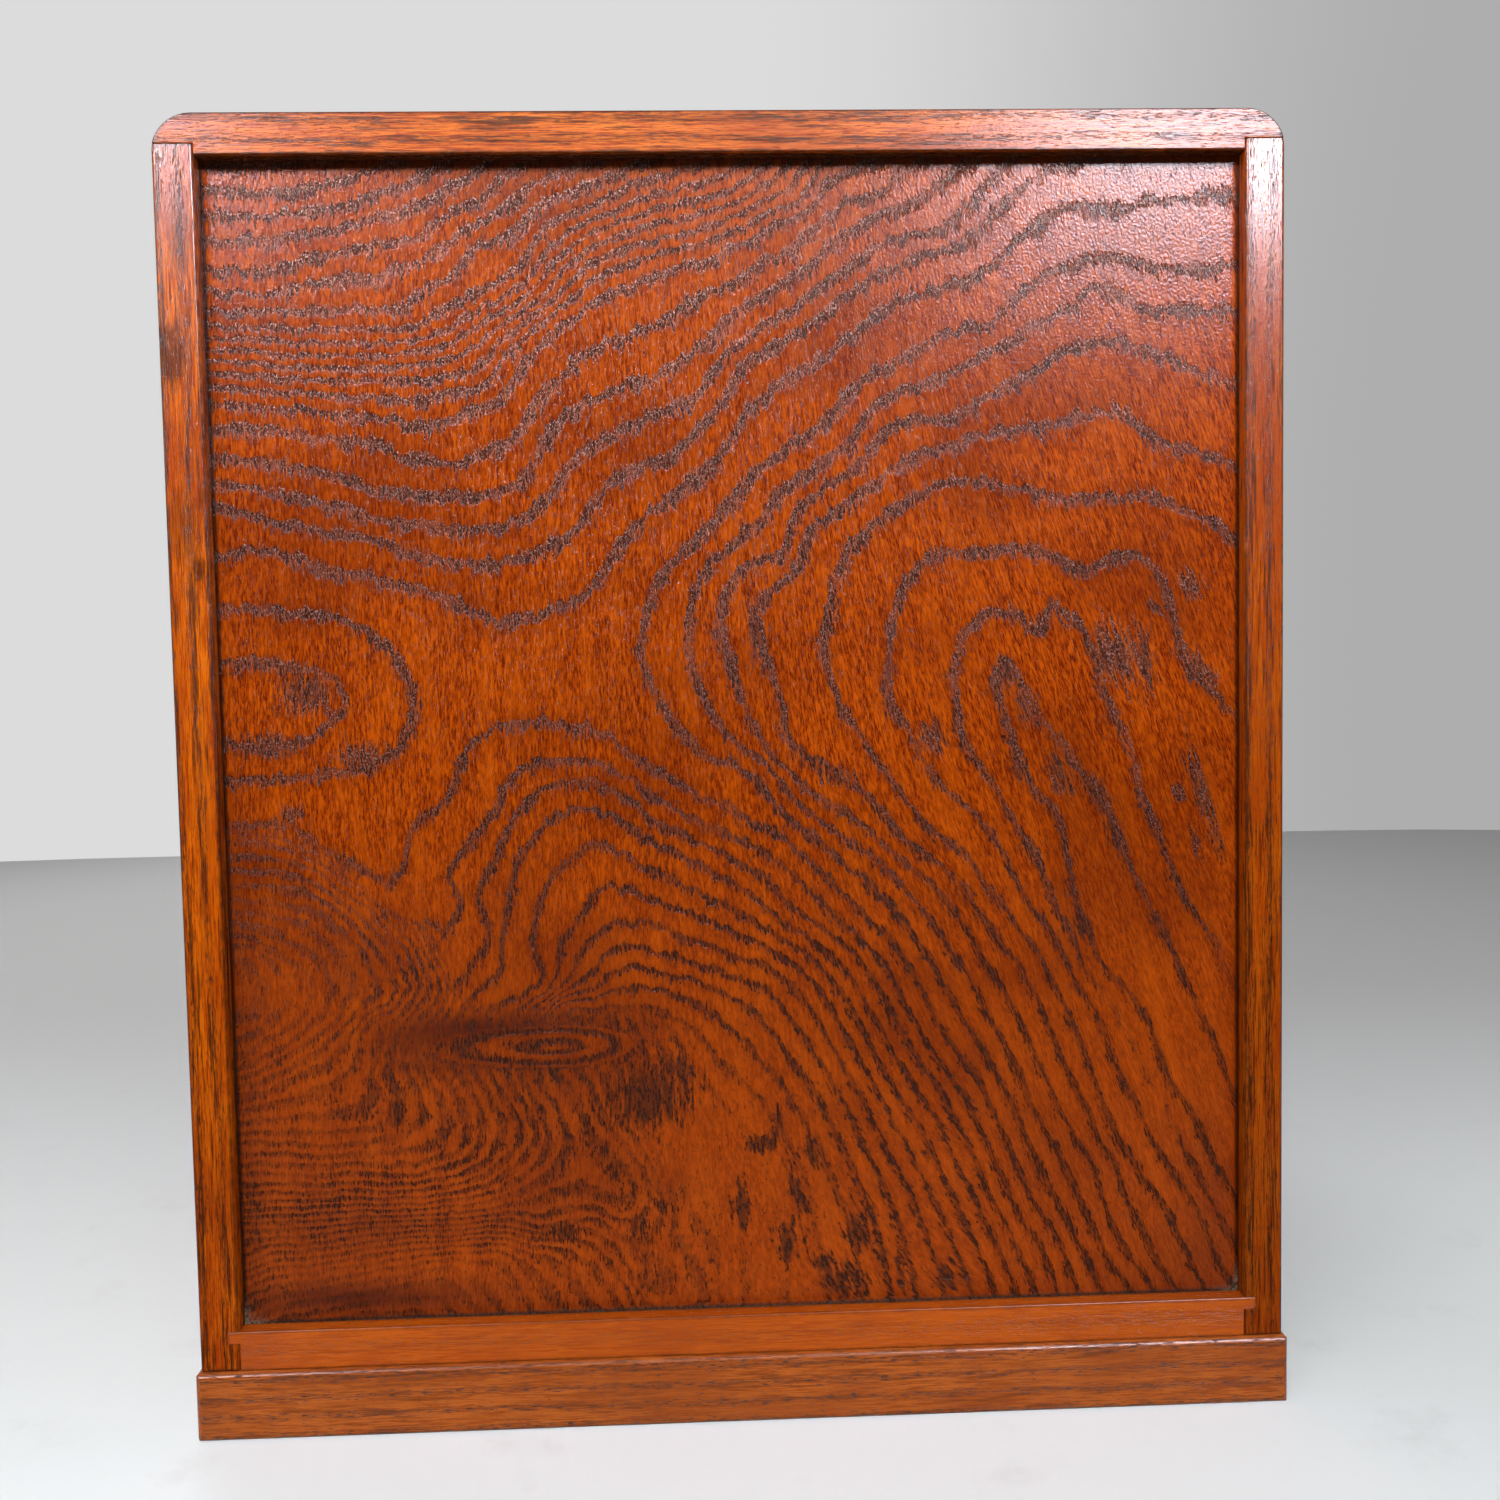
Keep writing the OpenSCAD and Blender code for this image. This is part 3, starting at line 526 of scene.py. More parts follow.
class Shading:
    """The nodes of a material or a world under way."""
    sockets = {
        "normal": "Normal", "gloss": "Specular IOR Level", "tint": "Specular Tint", "metallic": "Metallic",
    }

    def __init__(self, owner):
        owner.use_nodes = True
        self.owner, self.tree = owner, owner.node_tree
        self.tree.nodes.clear()

    def add(self, kind, inputs=(), **settings):
        """A new node, with its settings made and its inputs linked or set."""
        made = self.tree.nodes.new("ShaderNode" + kind)
        for key, item in settings.items():
            setattr(made, key, item)
        for key, item in dict(inputs).items():
            if isinstance(item, Value):
                self.tree.links.new(item.socket, made.inputs[key])
            else:
                made.inputs[key].default_value = item
        return made

    def out(self, kind, inputs=(), output=0, **settings):
        """One output of a new node."""
        return Value(self, self.add(kind, inputs, **settings).outputs[output])

    def place(self):
        """Object coordinates, in metres."""
        return self.out("TexCoord", output="Object")

    def value(self, attribute):
        """A value stored at the points of the mesh."""
        return self.out("Attribute", output="Fac", attribute_name=attribute)

    def parts(self, vector):
        """The three parts of a vector."""
        return [Value(self, each) for each in self.add("SeparateXYZ", {0: vector}).outputs]

    def vector(self, *parts):
        """A vector of three parts."""
        return self.out("CombineXYZ", enumerate(parts))

    def noise(self, vector, size, detail=2.0, roughness=0.5, seed=0.0):
        """Noise whose spots have this size, in metres, along the three axes, or the same along all."""
        sizes = size if isinstance(size, tuple) else (size,) * 3
        scale = tuple(1 / s for s in sizes)
        scaled = self.out("Mapping", {"Vector": vector, "Location": (seed,) * 3, "Scale": scale})
        inputs = {"Vector": scaled, "Scale": 1.0, "Detail": detail, "Roughness": roughness}
        return self.out("TexNoise", inputs, "Fac")

    def blend(self, share, first, second, mode="MIX"):
        """Colour between two colours."""
        return self.out("Mix", {0: share, 6: first, 7: second}, 2, data_type="RGBA", blend_type=mode)

    def layers(self, colour, *coats):
        """A colour under coats of other colours, each after the share that it covers."""
        for share, coat in coats:
            colour = self.blend(share, colour, coat)
        return colour

    def between(self, share, first, second):
        """Value between two values."""
        return self.out("Mix", {0: share, 2: first, 3: second})

    def spot(self, middle, reach):
        """Soft ball-like spot with a broken outline, 1 inside and 0 outside: the squares of the distances
        from its middle, each over its reach, summed up through a soft step."""
        away = self.noise(self.place(), (0.0015, 0.004, 0.004), 3.0, 0.65, 91.0) * 1.6
        for value, centre, size_of_spot in zip(self.parts(self.place()), middle, reach):
            part = (value - centre) / size_of_spot
            away = away + part * part
        return away.step(1.9, 0.9)

    def relief(self, height, depth):
        """Normal from a height, where 1 stands depth metres above 0."""
        return self.out("Bump", {"Height": height, "Distance": depth, "Strength": 1.0})

    def done(self, colour, roughness, **shader):
        """The finished material. Where the gloss varies, its socket also keeps the plain lacquer's value."""
        made = self.add("BsdfPrincipled", {"Base Color": colour, "Roughness": roughness,
                                           "Specular IOR Level": LACQUER_GLOSS})
        for key, item in shader.items():
            if isinstance(item, Value):
                self.tree.links.new(item.socket, made.inputs[self.sockets[key]])
            else:
                made.inputs[self.sockets[key]].default_value = item
        self.add("OutputMaterial", {"Surface": Value(self, made.outputs[0])})
        return self.owner


def ring_band(phase, narrow, wide):
    """1 on whole ring numbers and 0 between them: twice the distance of the phase's fraction from a half,
    through a soft step."""
    return (abs(phase.fraction() - 0.5) * 2.0).step(narrow, wide)


def from_ring(phase, half):
    """How far a point is past or short of the nearest whole ring number, counted in half bands."""
    return ((phase + 0.5).fraction() - 0.5) / half


def panel_finish(colours):
    """Strongly figured wood under lacquer: dark open-pored bands on the drawn rings, broken into short
    dashes along the grain, on a red-orange ground with fine fibres."""
    f = Shading(bpy.data.materials.new("figured_panel_lacquer"))
    here = f.place()
    _, y, z = f.parts(here)
    grain = f.vector(f.value("across_grain"), y, z)
    slope, branch, in_oval, pale = [f.value(name) for name in ("slope", "branch", "in_oval", "pale")]

    # Half bands past the middle of the band, with teeth along the grain: over is signed, away is not
    fine = f.noise(grain, (0.0011, 0.01, 0.006), 1.5, 0.6) - 0.5
    tooth = f.noise(grain, (0.0045, 0.02, 0.014), 2.0, 0.55, 7.3) - 0.5
    width = f.noise(here, (0.008, 0.05, 0.008), 2.0, 0.5, 13.0).step(0.3, 0.7, (0.6, 1.3))
    away = from_ring((fine * 6.0 + tooth * 10.0) * slope + f.value("ring"), f.value("half_band") * width)
    sway = (f.noise(here, (0.007, 0.05, 0.005), 2.0, 0.5, 53.0) - 0.5) * 0.7
    branch_phase = sway + (fine * 3.5 + tooth * 4.0) * slope + f.value("branch_ring")
    away = f.between(branch, away, from_ring(branch_phase, width * 0.23))
    away = f.between(in_oval, away, from_ring(fine * 0.12 + f.value("oval"), 0.21))
    over = away * slope.sign()
    away = over.most(over * -0.66)

    # Bands and patches of open wood
    dash = f.noise(grain, (0.00046, 0.004, 0.0021), 2.0, 0.6, 1.7)
    rough_edge = (dash - 0.5) * over.step(-0.5, 0.8, (-3.8, -2.4))
    uneven = f.noise(here, (0.022, 0.05, 0.014), 2.0, 0.5, 11.0).step(0.25, 0.6, (0.6, 1.0))
    gaps = f.noise(here, (0.009, 0.05, 0.006), 2.0, 0.6, 61.0).step(0.36, 0.54, (0.5, 1.0))
    strength = (f.value("fade") * uneven * f.between(branch, 1.0, gaps)).most(in_oval)
    bands = (away + rough_edge).step(1.2, 0.5) * strength
    halo = away.step(3.4, 0.8) * strength
    tongues = f.noise(grain, (0.0012, 0.01, 0.012), 2.0, 0.6, 19.0) - 0.5
    patch = (tongues * 3.0 + f.value("patch") + rough_edge * -0.4).step(-0.1, 0.5, (0.0, 0.95))
    open_wood = bands.most(patch)
    pores = (open_wood * 0.14 + dash).step(0.61, 0.71)
    # Painted highlight: crest is the upper side of each band, where the glare catches, and the glints are
    # painted highlights there, high on the panel, in the colour and in the relief
    crest = over.step(-0.9, 0.5, (0.3, 1.0))
    glints = f.noise(grain, (0.00048, 0.004, 0.0008), 1.0, 0.6, 23.0).step(0.55, 0.63)
    glints = glints * open_wood * crest * pale

    # Colours: the ground, then the bands with their painted sheen, their pores and painted glints, then
    # painted shade along the recess's edges and the dust in its corners
    fibre = f.noise(grain, (0.00038, 0.006, 0.0026), 2.0, 0.7, 5.0)
    flame = f.noise(grain, (0.0008, 0.006, 0.0045), 3.0, 0.65, 37.0)
    cloud = f.noise(here, (0.06, 0.1, 0.045), 2.0, 0.5, 2.0)
    flow = f.noise(grain, (0.006, 0.02, 0.045), 2.0, 0.5, 9.0)
    lively = z.step(0.10, 0.24, (0.45, 1.0))
    dusty = f.noise(here, 0.0012, 3.0, 0.7, 41.0).step(0.35, 0.6)
    # Painted shade: dark along the edges of the recess, and in a wider band under the top board
    under_top = f.value("from_top").step(4.0, 1.5, (0.0, 0.8))
    edges = f.value("from_edge").step(1.6, 0.2, (0.0, 0.85)).most(under_top)
    colour = f.layers(
        colours.panel_deep,
        (f.between(lively, 0.7, fibre.step(0.41, 0.59)), colours.panel_ground),
        (f.between(lively, 0.2, flame.step(0.45, 0.64, (0.0, 0.65))), colours.panel_bright),
        (flow.step(0.42, 0.75, (0.0, 0.35)), colours.panel_bright),
        (cloud.step(0.45, 0.70, (0.0, 0.4)), colours.panel_deep),
        (halo * 0.2, colours.panel_deep),
        (f.value("shade") * 0.8, colours.panel_shade),
        (open_wood * (pale * 0.02 + 0.68), f.blend(pale * crest, colours.pore_brown, colours.painted_band_sheen)),
        (pores * (open_wood * 0.3 + 0.55), colours.pore_dark),
        (patch * pale.step(0.5, 0.0, (0.0, 0.3)), colours.pore_dark),
        (glints * 0.85, f.blend(z.step(0.29, 0.38), colours.painted_glint, colours.painted_glint_high)),
    )
    # Painted light: the panel darkens towards the bottom and brightens towards the top, as the light from
    # above falls off
    colour = f.blend(1.0, colour, z.step(0.12, 0.44, (0.73, 1.10)), "MULTIPLY")
    colour = f.layers(colour, (edges, colours.painted_recess_shade), (f.value("dust") * dusty, colours.dust))

    # The skin of the lacquer: sunk over pores and bands, uneven all over and most so at the top
    peel = f.noise(here, (0.0008, 0.0008, 0.001), 2.0, 0.5, 31.0) * z.step(0.27, 0.38, (0.12, 0.62))
    sunk = pores * (open_wood * -0.9 - 0.3) + open_wood * -0.6
    return f.done(colour, open_wood * 0.06 + fibre * 0.08 + 0.13,
                  normal=f.relief(sunk + fibre * 0.12 + glints * 1.2 + peel, 0.00018),
                  gloss=z.step(0.14, 0.36, (0.75 * LACQUER_GLOSS, 1.3 * LACQUER_GLOSS)), tint=LACQUER_TINT)


def edge_dirt_and_shade(f, low, high, corner):
    """Dirt and painted shade at a board's edges: 1 at the edges and 0 from 1.3 mm in, the middle one of the
    three distances to the planes of its faces, through a soft step that noise breaks up. Round the upper
    corners the distance is the corner's radius less the length of what the two distances lack of that radius."""
    xyz = f.parts(f.place())
    a, b, c = [(top - foot) / 2 - abs(value - (foot + top) / 2) for value, foot, top in zip(xyz, low, high)]
    middle = a.least(b).most(a.most(b).least(c))
    if corner:
        lack, lack_below = [(corner - gap).most(0.0) for gap in (a, high[2] - xyz[2])]
        middle = middle.least((corner - (lack * lack + lack_below * lack_below).root()).most(b))
    broken = f.noise(f.place(), 0.004, 2.0, 0.6, 71.0)
    return (broken * 0.0012 + middle).step(0.0019, 0.0006)


def recess_wall_shade(f):
    """Painted shade: 1 on the walls of the back panel's recess, close to the panel, and further out under the
    top board.
    """
    x, y, z = f.parts(f.place())
    off_panel = abs(y - PANEL_FACE_Y)
    under_top = off_panel.step(0.0062, 0.0040) * z.step(RECESS_TOP - 0.5 * MM, RECESS_TOP - 0.1 * MM)
    near = off_panel.step(0.0022, 0.0004).most(under_top)
    across = abs(x).step(RECESS_SIDE + 0.7 * MM, RECESS_SIDE + 0.2 * MM)
    above = z.step(RECESS_FOOT - 0.5 * MM, RECESS_FOOT - 0.1 * MM)
    return near * across * above * z.step(RECESS_TOP + 0.5 * MM, RECESS_TOP + 0.1 * MM)


def wood_finish(name, axis, tones, pith, seed, ring=0.005, bands=0.2, strokes=1.0, pores=1.0, gloss=0.23,
                warp=0.010, length=0.16, specular=LACQUER_GLOSS, board=None, dirt_and_shade=0.0, recess=0.0, spots=(),
                foot=None, corner=0.0):
    """Solid wood with its grain along one axis, in light, deep and dark tones. Rings are cylinders round a
    pith line outside the board: the ring number is the distance from that line, pushed about by slow noise,
    over the width of a ring. So the faces show stripes and long arches, and the ends show arcs and dots."""
    light, deep, dark = tones
    f = Shading(bpy.data.materials.new(name))
    here = f.place()
    xyz = f.parts(here)
    along, across, through = [xyz[i] for i in GRAIN_ORDER[axis]]
    grain = f.vector(along, across, through)
    a = across - pith[0] + (f.noise(grain, (length, 0.05, 0.05), 2.0, 0.5, seed) - 0.5) * warp
    b = through - pith[1]
    jag = f.noise(grain, (0.012, 0.0008, 0.0008), 2.0, 0.6, seed + 1) - 0.5
    band = ring_band(jag * 0.6 + (a * a + b * b).root() / ring, 0.35, 0.95)
    fibre = f.noise(grain, (0.010, 0.00045, 0.00045), 3.0, 0.7, seed + 2)
    dash = f.noise(grain, (0.0036, 0.00035, 0.00035), 2.0, 0.6, seed + 3)
    stroke = f.noise(grain, (0.020, 0.0009, 0.0009), 3.0, 0.6, seed + 4)
    flame = f.noise(grain, (0.05, 0.004, 0.004), 3.0, 0.6, seed + 5)
    cloud = f.noise(grain, (0.045, 0.014, 0.014), 2.0, 0.5, seed + 6)
    open_pores = (band * 0.10 + dash).step(0.60, 0.70)
    colour = f.layers(
        deep,
        (fibre.step(0.40, 0.60), light),
        (flame.step(0.44, 0.70, (0.0, 0.5)), light),
        (cloud.step(0.42, 0.66, (0.0, 0.6)), deep),
        (band * bands, dark),
        ((band * 0.06 + stroke).step(0.55, 0.66, (0.0, 0.72 * strokes)), dark),
        (open_pores * (0.7 * pores), dark),
        *[(f.spot(middle, reach) * amount, dark) for middle, reach, amount in spots],
    )
    # Painted shade: the colour darkens towards the board's foot, as the light from above falls off, while the
    # gloss grows towards the top
    if foot:
        tone, shine = foot
        colour = f.blend(1.0, colour, xyz[2].step(0.04, 0.36, (tone, 1.0)), "MULTIPLY")
        specular = xyz[2].step(0.16, 0.38, (shine * LACQUER_GLOSS, 2.7 * LACQUER_GLOSS))
    if corner:
        specular = xyz[2].step(TOP_FACE - 0.9 * MM, TOP_FACE - 0.1 * MM, (specular, 0.09 * specular))
    # Dirt and painted shade along the board's edges
    if board:
        colour = f.blend(edge_dirt_and_shade(f, *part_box(board), corner) * dirt_and_shade, colour, dark)
    # Painted shade on the walls of the panel's recess
    if recess:
        colour = f.blend(recess_wall_shade(f) * recess, colour, dark)
    height = open_pores * (-0.8 * pores) + fibre * 0.25 + f.noise(here, 0.0011, 2.0, 0.5, seed + 7) * 0.3
    return f.done(colour, open_pores * 0.1 + fibre * 0.08 + (gloss - 0.04),
                  normal=f.relief(height, 0.00013), gloss=specular, tint=LACQUER_TINT)


def metal_finish(colours):
    """Old metal with a dark skin, rubbed bright where fingers and edges wear it, as the mesh's own worn value
    says, and spotted by noise."""
    f = Shading(bpy.data.materials.new("aged_metal"))
    here = f.place()
    spots = f.noise(here, 0.0016, 3.0, 0.6)
    scratches = f.noise(here, (0.006, 0.0004, 0.0004), 2.0, 0.5, 4.0)
    worn = (spots * 0.9 + f.value("worn")).step(0.75, 1.2)
    colour = f.layers(colours.metal_dark, (spots.step(0.35, 0.7), colours.metal_mid),
                      (worn, colours.metal_rubbed))
    return f.done(colour, worn * -0.14 + spots * 0.2 + 0.36, normal=f.relief(scratches * 0.3 + spots, 0.0001),
                  gloss=0.5, metallic=1.0)


# Settings

def shade(label, what, red, green, blue):
    """A colour setting with its default given as a screen colour."""
    return bpy.props.FloatVectorProperty(name=label, description=what, default=linear(red, green, blue),
                                         size=4, min=0, max=1, subtype="COLOR")


def size(label, what, millimetres, low, high):
    """A length setting with its default and limits given in millimetres."""
    return bpy.props.FloatProperty(name=label, description=what, default=millimetres * MM, min=low * MM,
                                   max=high * MM, subtype="DISTANCE", unit="LENGTH", precision=5)


class ChestColours(bpy.types.PropertyGroup):
    """Colours of the finishes."""
    panel_ground: shade("Panel ground", "Ground of the back panel", 162, 60, 2)
    panel_bright: shade("Panel bright", "Brightest flows on the back panel", 206, 91, 6)
    panel_deep: shade("Panel deep", "Deep red fibres of the back panel", 98, 26, 2)
    panel_shade: shade("Panel shade", "Dark heartwood on the back panel", 74, 20, 8)
    # Painted reflection: the sheen of the glare on the upper side of the dark bands, high on the panel
    painted_band_sheen: shade("Pore light", "Filled pores in the dark bands", 86, 45, 33)
    pore_brown: shade("Pore brown", "Dark bands in the lower part of the panel", 80, 34, 14)
    pore_dark: shade("Pore dark", "Open pores in the dark bands", 46, 20, 13)
    # Painted highlights: glints of the glare on the dark bands, paler still near the top of the panel
    painted_glint: shade("Pore glint", "Pale grains of filler in the dark bands", 168, 118, 104)
    painted_glint_high: shade("Pore shine", "Grains of filler near the top of the panel", 230, 178, 164)
    dust: shade("Dust", "Old dust in the lower corners of the recess", 150, 138, 118)
    # Painted shade in the corners of the panel's recess
    painted_recess_shade: shade("Corner dark", "Old dark lacquer in the corners of the panel's recess", 30, 12, 8)
    case_light: shade("Case light", "Light wood of the case boards", 218, 106, 6)
    case_dim: shade("Case dim", "Light wood of the side board in the dimmer light", 186, 88, 8)
    case_deep: shade("Case deep", "Deep tone of the case boards", 158, 56, 2)
    case_dark: shade("Case dark", "Dark streaks of the case boards", 54, 24, 7)
    rail_light: shade("Rail light", "Light wood of the smooth bottom board", 178, 82, 10)
    rail_deep: shade("Rail deep", "Deep tone of the smooth bottom board", 154, 64, 8)
    plinth_light: shade("Plinth light", "Light wood of the plinth", 172, 88, 28)
    plinth_deep: shade("Plinth deep", "Deep tone of the plinth", 136, 62, 16)
    plinth_dark: shade("Plinth dark", "Dark streaks of the plinth", 58, 28, 14)
    box_light: shade("Box light", "Light wood inside the drawers", 214, 178, 128)
    box_deep: shade("Box deep", "Deep tone of the wood inside the drawers", 190, 148, 98)
    box_dark: shade("Box dark", "Grain lines of the wood inside the drawers", 146, 106, 66)
    metal_dark: shade("Metal dark", "Dark skin of the pulls", 38, 32, 28)
    metal_mid: shade("Metal mid", "Thin skin of the pulls", 74, 60, 46)
    metal_rubbed: shade("Metal rubbed", "Rubbed metal of the pulls", 176, 140, 92)
    # Painted light on the floor: bright in front of the back, shaded beyond the chest, and shaded under the
    # lamps to damp their pool
    floor_near: shade("Floor near", "Floor in front of the panelled back", 238, 244, 246)
    floor_far_shade_and_marks: shade("Floor far", "Floor beyond the chest", 202, 202, 202)
    floor_lamp_pool_shade: shade("Floor lit", "Floor under the lamps", 160, 162, 165)
    wall_bright: shade("Wall bright", "Bright side of the background", 220, 220, 220)
    wall_dim: shade("Wall dim", "Dim side of the background", 174, 174, 174)


class ChestSizes(bpy.types.PropertyGroup):
    """Sizes that the looks add to the CAD model."""
    arris: size("Arris", "Radius of the eased edges of the case boards", 0.45, 0.1, 1)
    box_arris: size("Box arris", "Radius of the eased edges of the drawer boxes", 0.6, 0.1, 1)
    panel_step: size("Panel step", "Distance between the points of the back panel", 2.0, 1, 8)
    bail_arm: size("Bail arm", "Radius of the bail's arms", 1.7, 1, 2.2)
    bail_bow: size("Bail bow", "Radius of the bail in the middle of its bow", 2.2, 1, 2.2)


def settings():
    """The two groups of settings."""
    scene = bpy.context.scene
    return scene.chest_colours, scene.chest_sizes


# Pieces

class CHEST_OT_stage(bpy.types.Operator):
    """Camera of the photograph, pale floor, soft lights and pale background"""
    bl_idname = "chest.stage"
    bl_label = "Stage"

    def execute(self, context):
        colours, _ = settings()
        self.camera(context.scene)
        self.floor(colours)
        self.world(context.scene, colours)
        for lamp in LAMPS:
            self.lamp(*lamp)
        context.scene.view_settings.view_transform = "Standard"
        return {"FINISHED"}

    def camera(self, scene):
        """Looks along -Y, turned by its yaw, tilted down by its pitch and rolled about its own axis."""
        yaw, pitch, roll = [math.radians(a) for a in (CAMERA_YAW, CAMERA_PITCH, CAMERA_ROLL)]
        ahead = Vector((-math.sin(yaw) * math.cos(pitch), -math.cos(yaw) * math.cos(pitch), -math.sin(pitch)))
        right = Vector((-math.cos(yaw), math.sin(yaw), 0))
        up = right.cross(ahead)
        right, up = (math.cos(roll) * right + math.sin(roll) * up,
                     math.cos(roll) * up - math.sin(roll) * right)
        data = bpy.data.cameras.new("camera")
        data.lens, data.sensor_width, data.clip_start = CAMERA_LENS, 36, 0.01
        camera = bpy.data.objects.new("camera", data)
        turn = Matrix((right, up, -ahead)).transposed().to_4x4()
        camera.matrix_world = Matrix.Translation(CAMERA_AT) @ turn
        scene.collection.objects.link(camera)
        scene.camera = camera

    def lamp(self, name, at, width, height, power, only):
        """A flat soft light that faces the middle of the chest."""
        data = bpy.data.lights.new(name, "AREA")
        data.shape, data.size, data.size_y, data.energy = "RECTANGLE", width, height, power
        data.color = GLARE_COLOUR if only == "gloss" else (1.0, 1.0, 1.0)
        lamp = bpy.data.objects.new(name, data)
        lamp.location = at
        lamp.rotation_euler = (Vector(LAMPS_FACE) - Vector(at)).to_track_quat("-Z", "Y").to_euler()
        lamp.visible_diffuse = only != "gloss"
        lamp.visible_glossy = only != "matt"
        bpy.context.scene.collection.objects.link(lamp)

    def floor(self, colours):
        """A flat floor with round corners, where the eighth powers of x and y over the half size sum to 1."""
        share = np.array([0.0, 0.25, 0.5, 0.8, 1.0])[:, None]
        angle = around(96)
        reach = FLOOR_HALF / (np.cos(angle) ** 8 + np.sin(angle) ** 8) ** 0.125
        reach = share * reach
        points = np.stack([reach * np.cos(angle), reach * np.sin(angle), 0 * reach], -1)
        f = Shading(bpy.data.materials.new("pale_floor"))
        here = f.place()
        y = f.parts(here)[1]
        marks = f.noise(here, 0.05, 5.0, 0.65).step(0.55, 0.75, (0.0, 0.25))
        # Painted light: bright near, painted shade far off and under the lamps; the marks take the far
        # floor's colour
        ground = f.layers(colours.floor_far_shade_and_marks, (y.step(-0.5, 0.35), colours.floor_near),
                          (y.step(0.20, 0.65), colours.floor_lamp_pool_shade), (marks, colours.floor_far_shade_and_marks))
        f.done(ground, 0.9, gloss=0.0)
        floor = tidy_shell(new_piece("floor", points, grid_faces(len(share), 96, True), f.owner, False))
        if floor.data.polygons[0].normal.z < 0:
            floor.data.flip_normals()

    def world(self, scene, colours):
        """Lights evenly. The camera sees a pale wall that darkens towards -X, and reflections see a room
        that is dim behind the camera and bright on the drawers' side."""
        w = Shading(bpy.data.worlds.new("studio"))
        rays = w.add("LightPath").outputs
        camera, glossy, through = [
            Value(w, rays[f"Is {kind} Ray"]) for kind in ("Camera", "Glossy", "Transmission")
        ]
        across, behind, _ = w.parts(w.out("TexCoord", output="Generated"))
        wall = w.blend(across.step(-0.47, -0.02), colours.wall_dim, colours.wall_bright)
        room = behind.step(-0.7, 0.7, (0.45, 0.05), "LINEAR")
        white = (1.0, 1.0, 1.0, 1.0)
        lights = ((white, WORLD_LIGHT), (white, room), (wall, 1.0))
        lit, mirrored, seen = [
            w.out("Background", {"Color": colour, "Strength": power}) for colour, power in lights
        ]
        mixed = w.out("MixShader", {0: glossy.most(through), 1: lit, 2: mirrored})
        w.add("OutputWorld", {"Surface": w.out("MixShader", {0: camera, 1: mixed, 2: seen})})
        scene.world = w.owner


class CHEST_OT_back_panel(bpy.types.Operator):
    """Figured panel in the back of the case"""
    bl_idname = "chest.back_panel"
    bl_label = "Back panel"

    def execute(self, context):
        colours, sizes = settings()
        low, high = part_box("back_panel")
        columns = round((high.x - low.x) / sizes.panel_step) + 1
        rows = round((high.z - low.z) / sizes.panel_step) + 1
        x, z = np.meshgrid(np.linspace(high.x, low.x, columns), np.linspace(low.z, high.z, rows))
        sheets = [np.stack([x, np.full_like(x, y), z], -1).reshape(-1, 3) for y in (high.y, low.y)]
        back, front = grid_faces(rows, columns), grid_faces(rows, columns, start=rows * columns)[:, ::-1]
        index = np.arange(rows * columns).reshape(rows, columns)
        rim = np.concatenate([index[0], index[1:, -1], index[-1, -2::-1], index[-2:0:-1, 0]])
        after = np.roll(rim, -1)
        walls = np.stack([rim, rim + rows * columns, after + rows * columns, after], -1)
        piece = new_piece("figured_back_panel", np.concatenate(sheets), np.concatenate([back, front, walls]),
                          panel_finish(colours), False)
        for name, value in panel_figure(-x / MM, z / MM).items():
            store(piece, name, np.tile(value.ravel(), 2))
        fit(piece, "back_panel")
        return {"FINISHED"}


class CHEST_OT_case_boards(bpy.types.Operator):
    """Top, sides and bottom of the case, each with its own grain"""
    bl_idname = "chest.case_boards"
    bl_label = "Case boards"

    def execute(self, context):
        c, sizes = settings()
        tones, dim = (c.case_light, c.case_deep, c.case_dark), (c.case_dim, c.case_deep, c.case_dark)
        rail = (c.rail_light, c.rail_deep, c.case_dark)
        old, side = dict(dirt_and_shade=0.9, recess=0.92), dict(dirt_and_shade=0.9, recess=0.92, gloss=0.17)
        boards = {
            "top_board": ("top_board_lacquer", "X", tones, (0.05, 0.30), 1.0,
                          dict(old, ring=0.0052, corner=TOP_CORNER, specular=1.4 * LACQUER_GLOSS)),
            "left_side_board": ("left_side_lacquer", "Z", dim, (0.05, 0.06), 20.0,
                                dict(side, ring=0.0062, foot=(0.55, 0.3))),
            "right_side_board": ("right_side_lacquer", "Z", tones, (-0.05, 0.02), 40.0,
                                 dict(side, ring=0.0058, foot=(0.68, 0.3), spots=STAINS)),
            "bottom_board": ("bottom_board_lacquer", "X", rail, (0.0, 0.35), 60.0,
                             dict(ring=0.011, bands=0.1, strokes=0.15, pores=0.4, dirt_and_shade=0.5, recess=0.3)),
        }
        for node, (*look, more) in boards.items():
            eased_board(node, wood_finish(*look, board=node, **more), sizes.arris)
        return {"FINISHED"}


class CHEST_OT_shelves(bpy.types.Operator):
    """Three shelves and the partition between the rows of drawers"""
    bl_idname = "chest.shelves"
    bl_label = "Shelves"

    def execute(self, context):
        c, sizes = settings()
        tones = (c.case_light, c.case_deep, c.case_dark)
        boards = [(name, "X", (0.1, 0.5), seed) for name, seed in
                  (("upper_shelf", 80.0), ("middle_shelf", 89.0), ("lower_shelf", 98.0))]
        for node, axis, pith, seed in (*boards, ("partition", "Z", (0.1, 0.05), 120.0)):
            finish = wood_finish(node + "_lacquer", axis, tones, pith, seed, ring=0.004)
            eased_board(node, finish, sizes.arris)
        return {"FINISHED"}


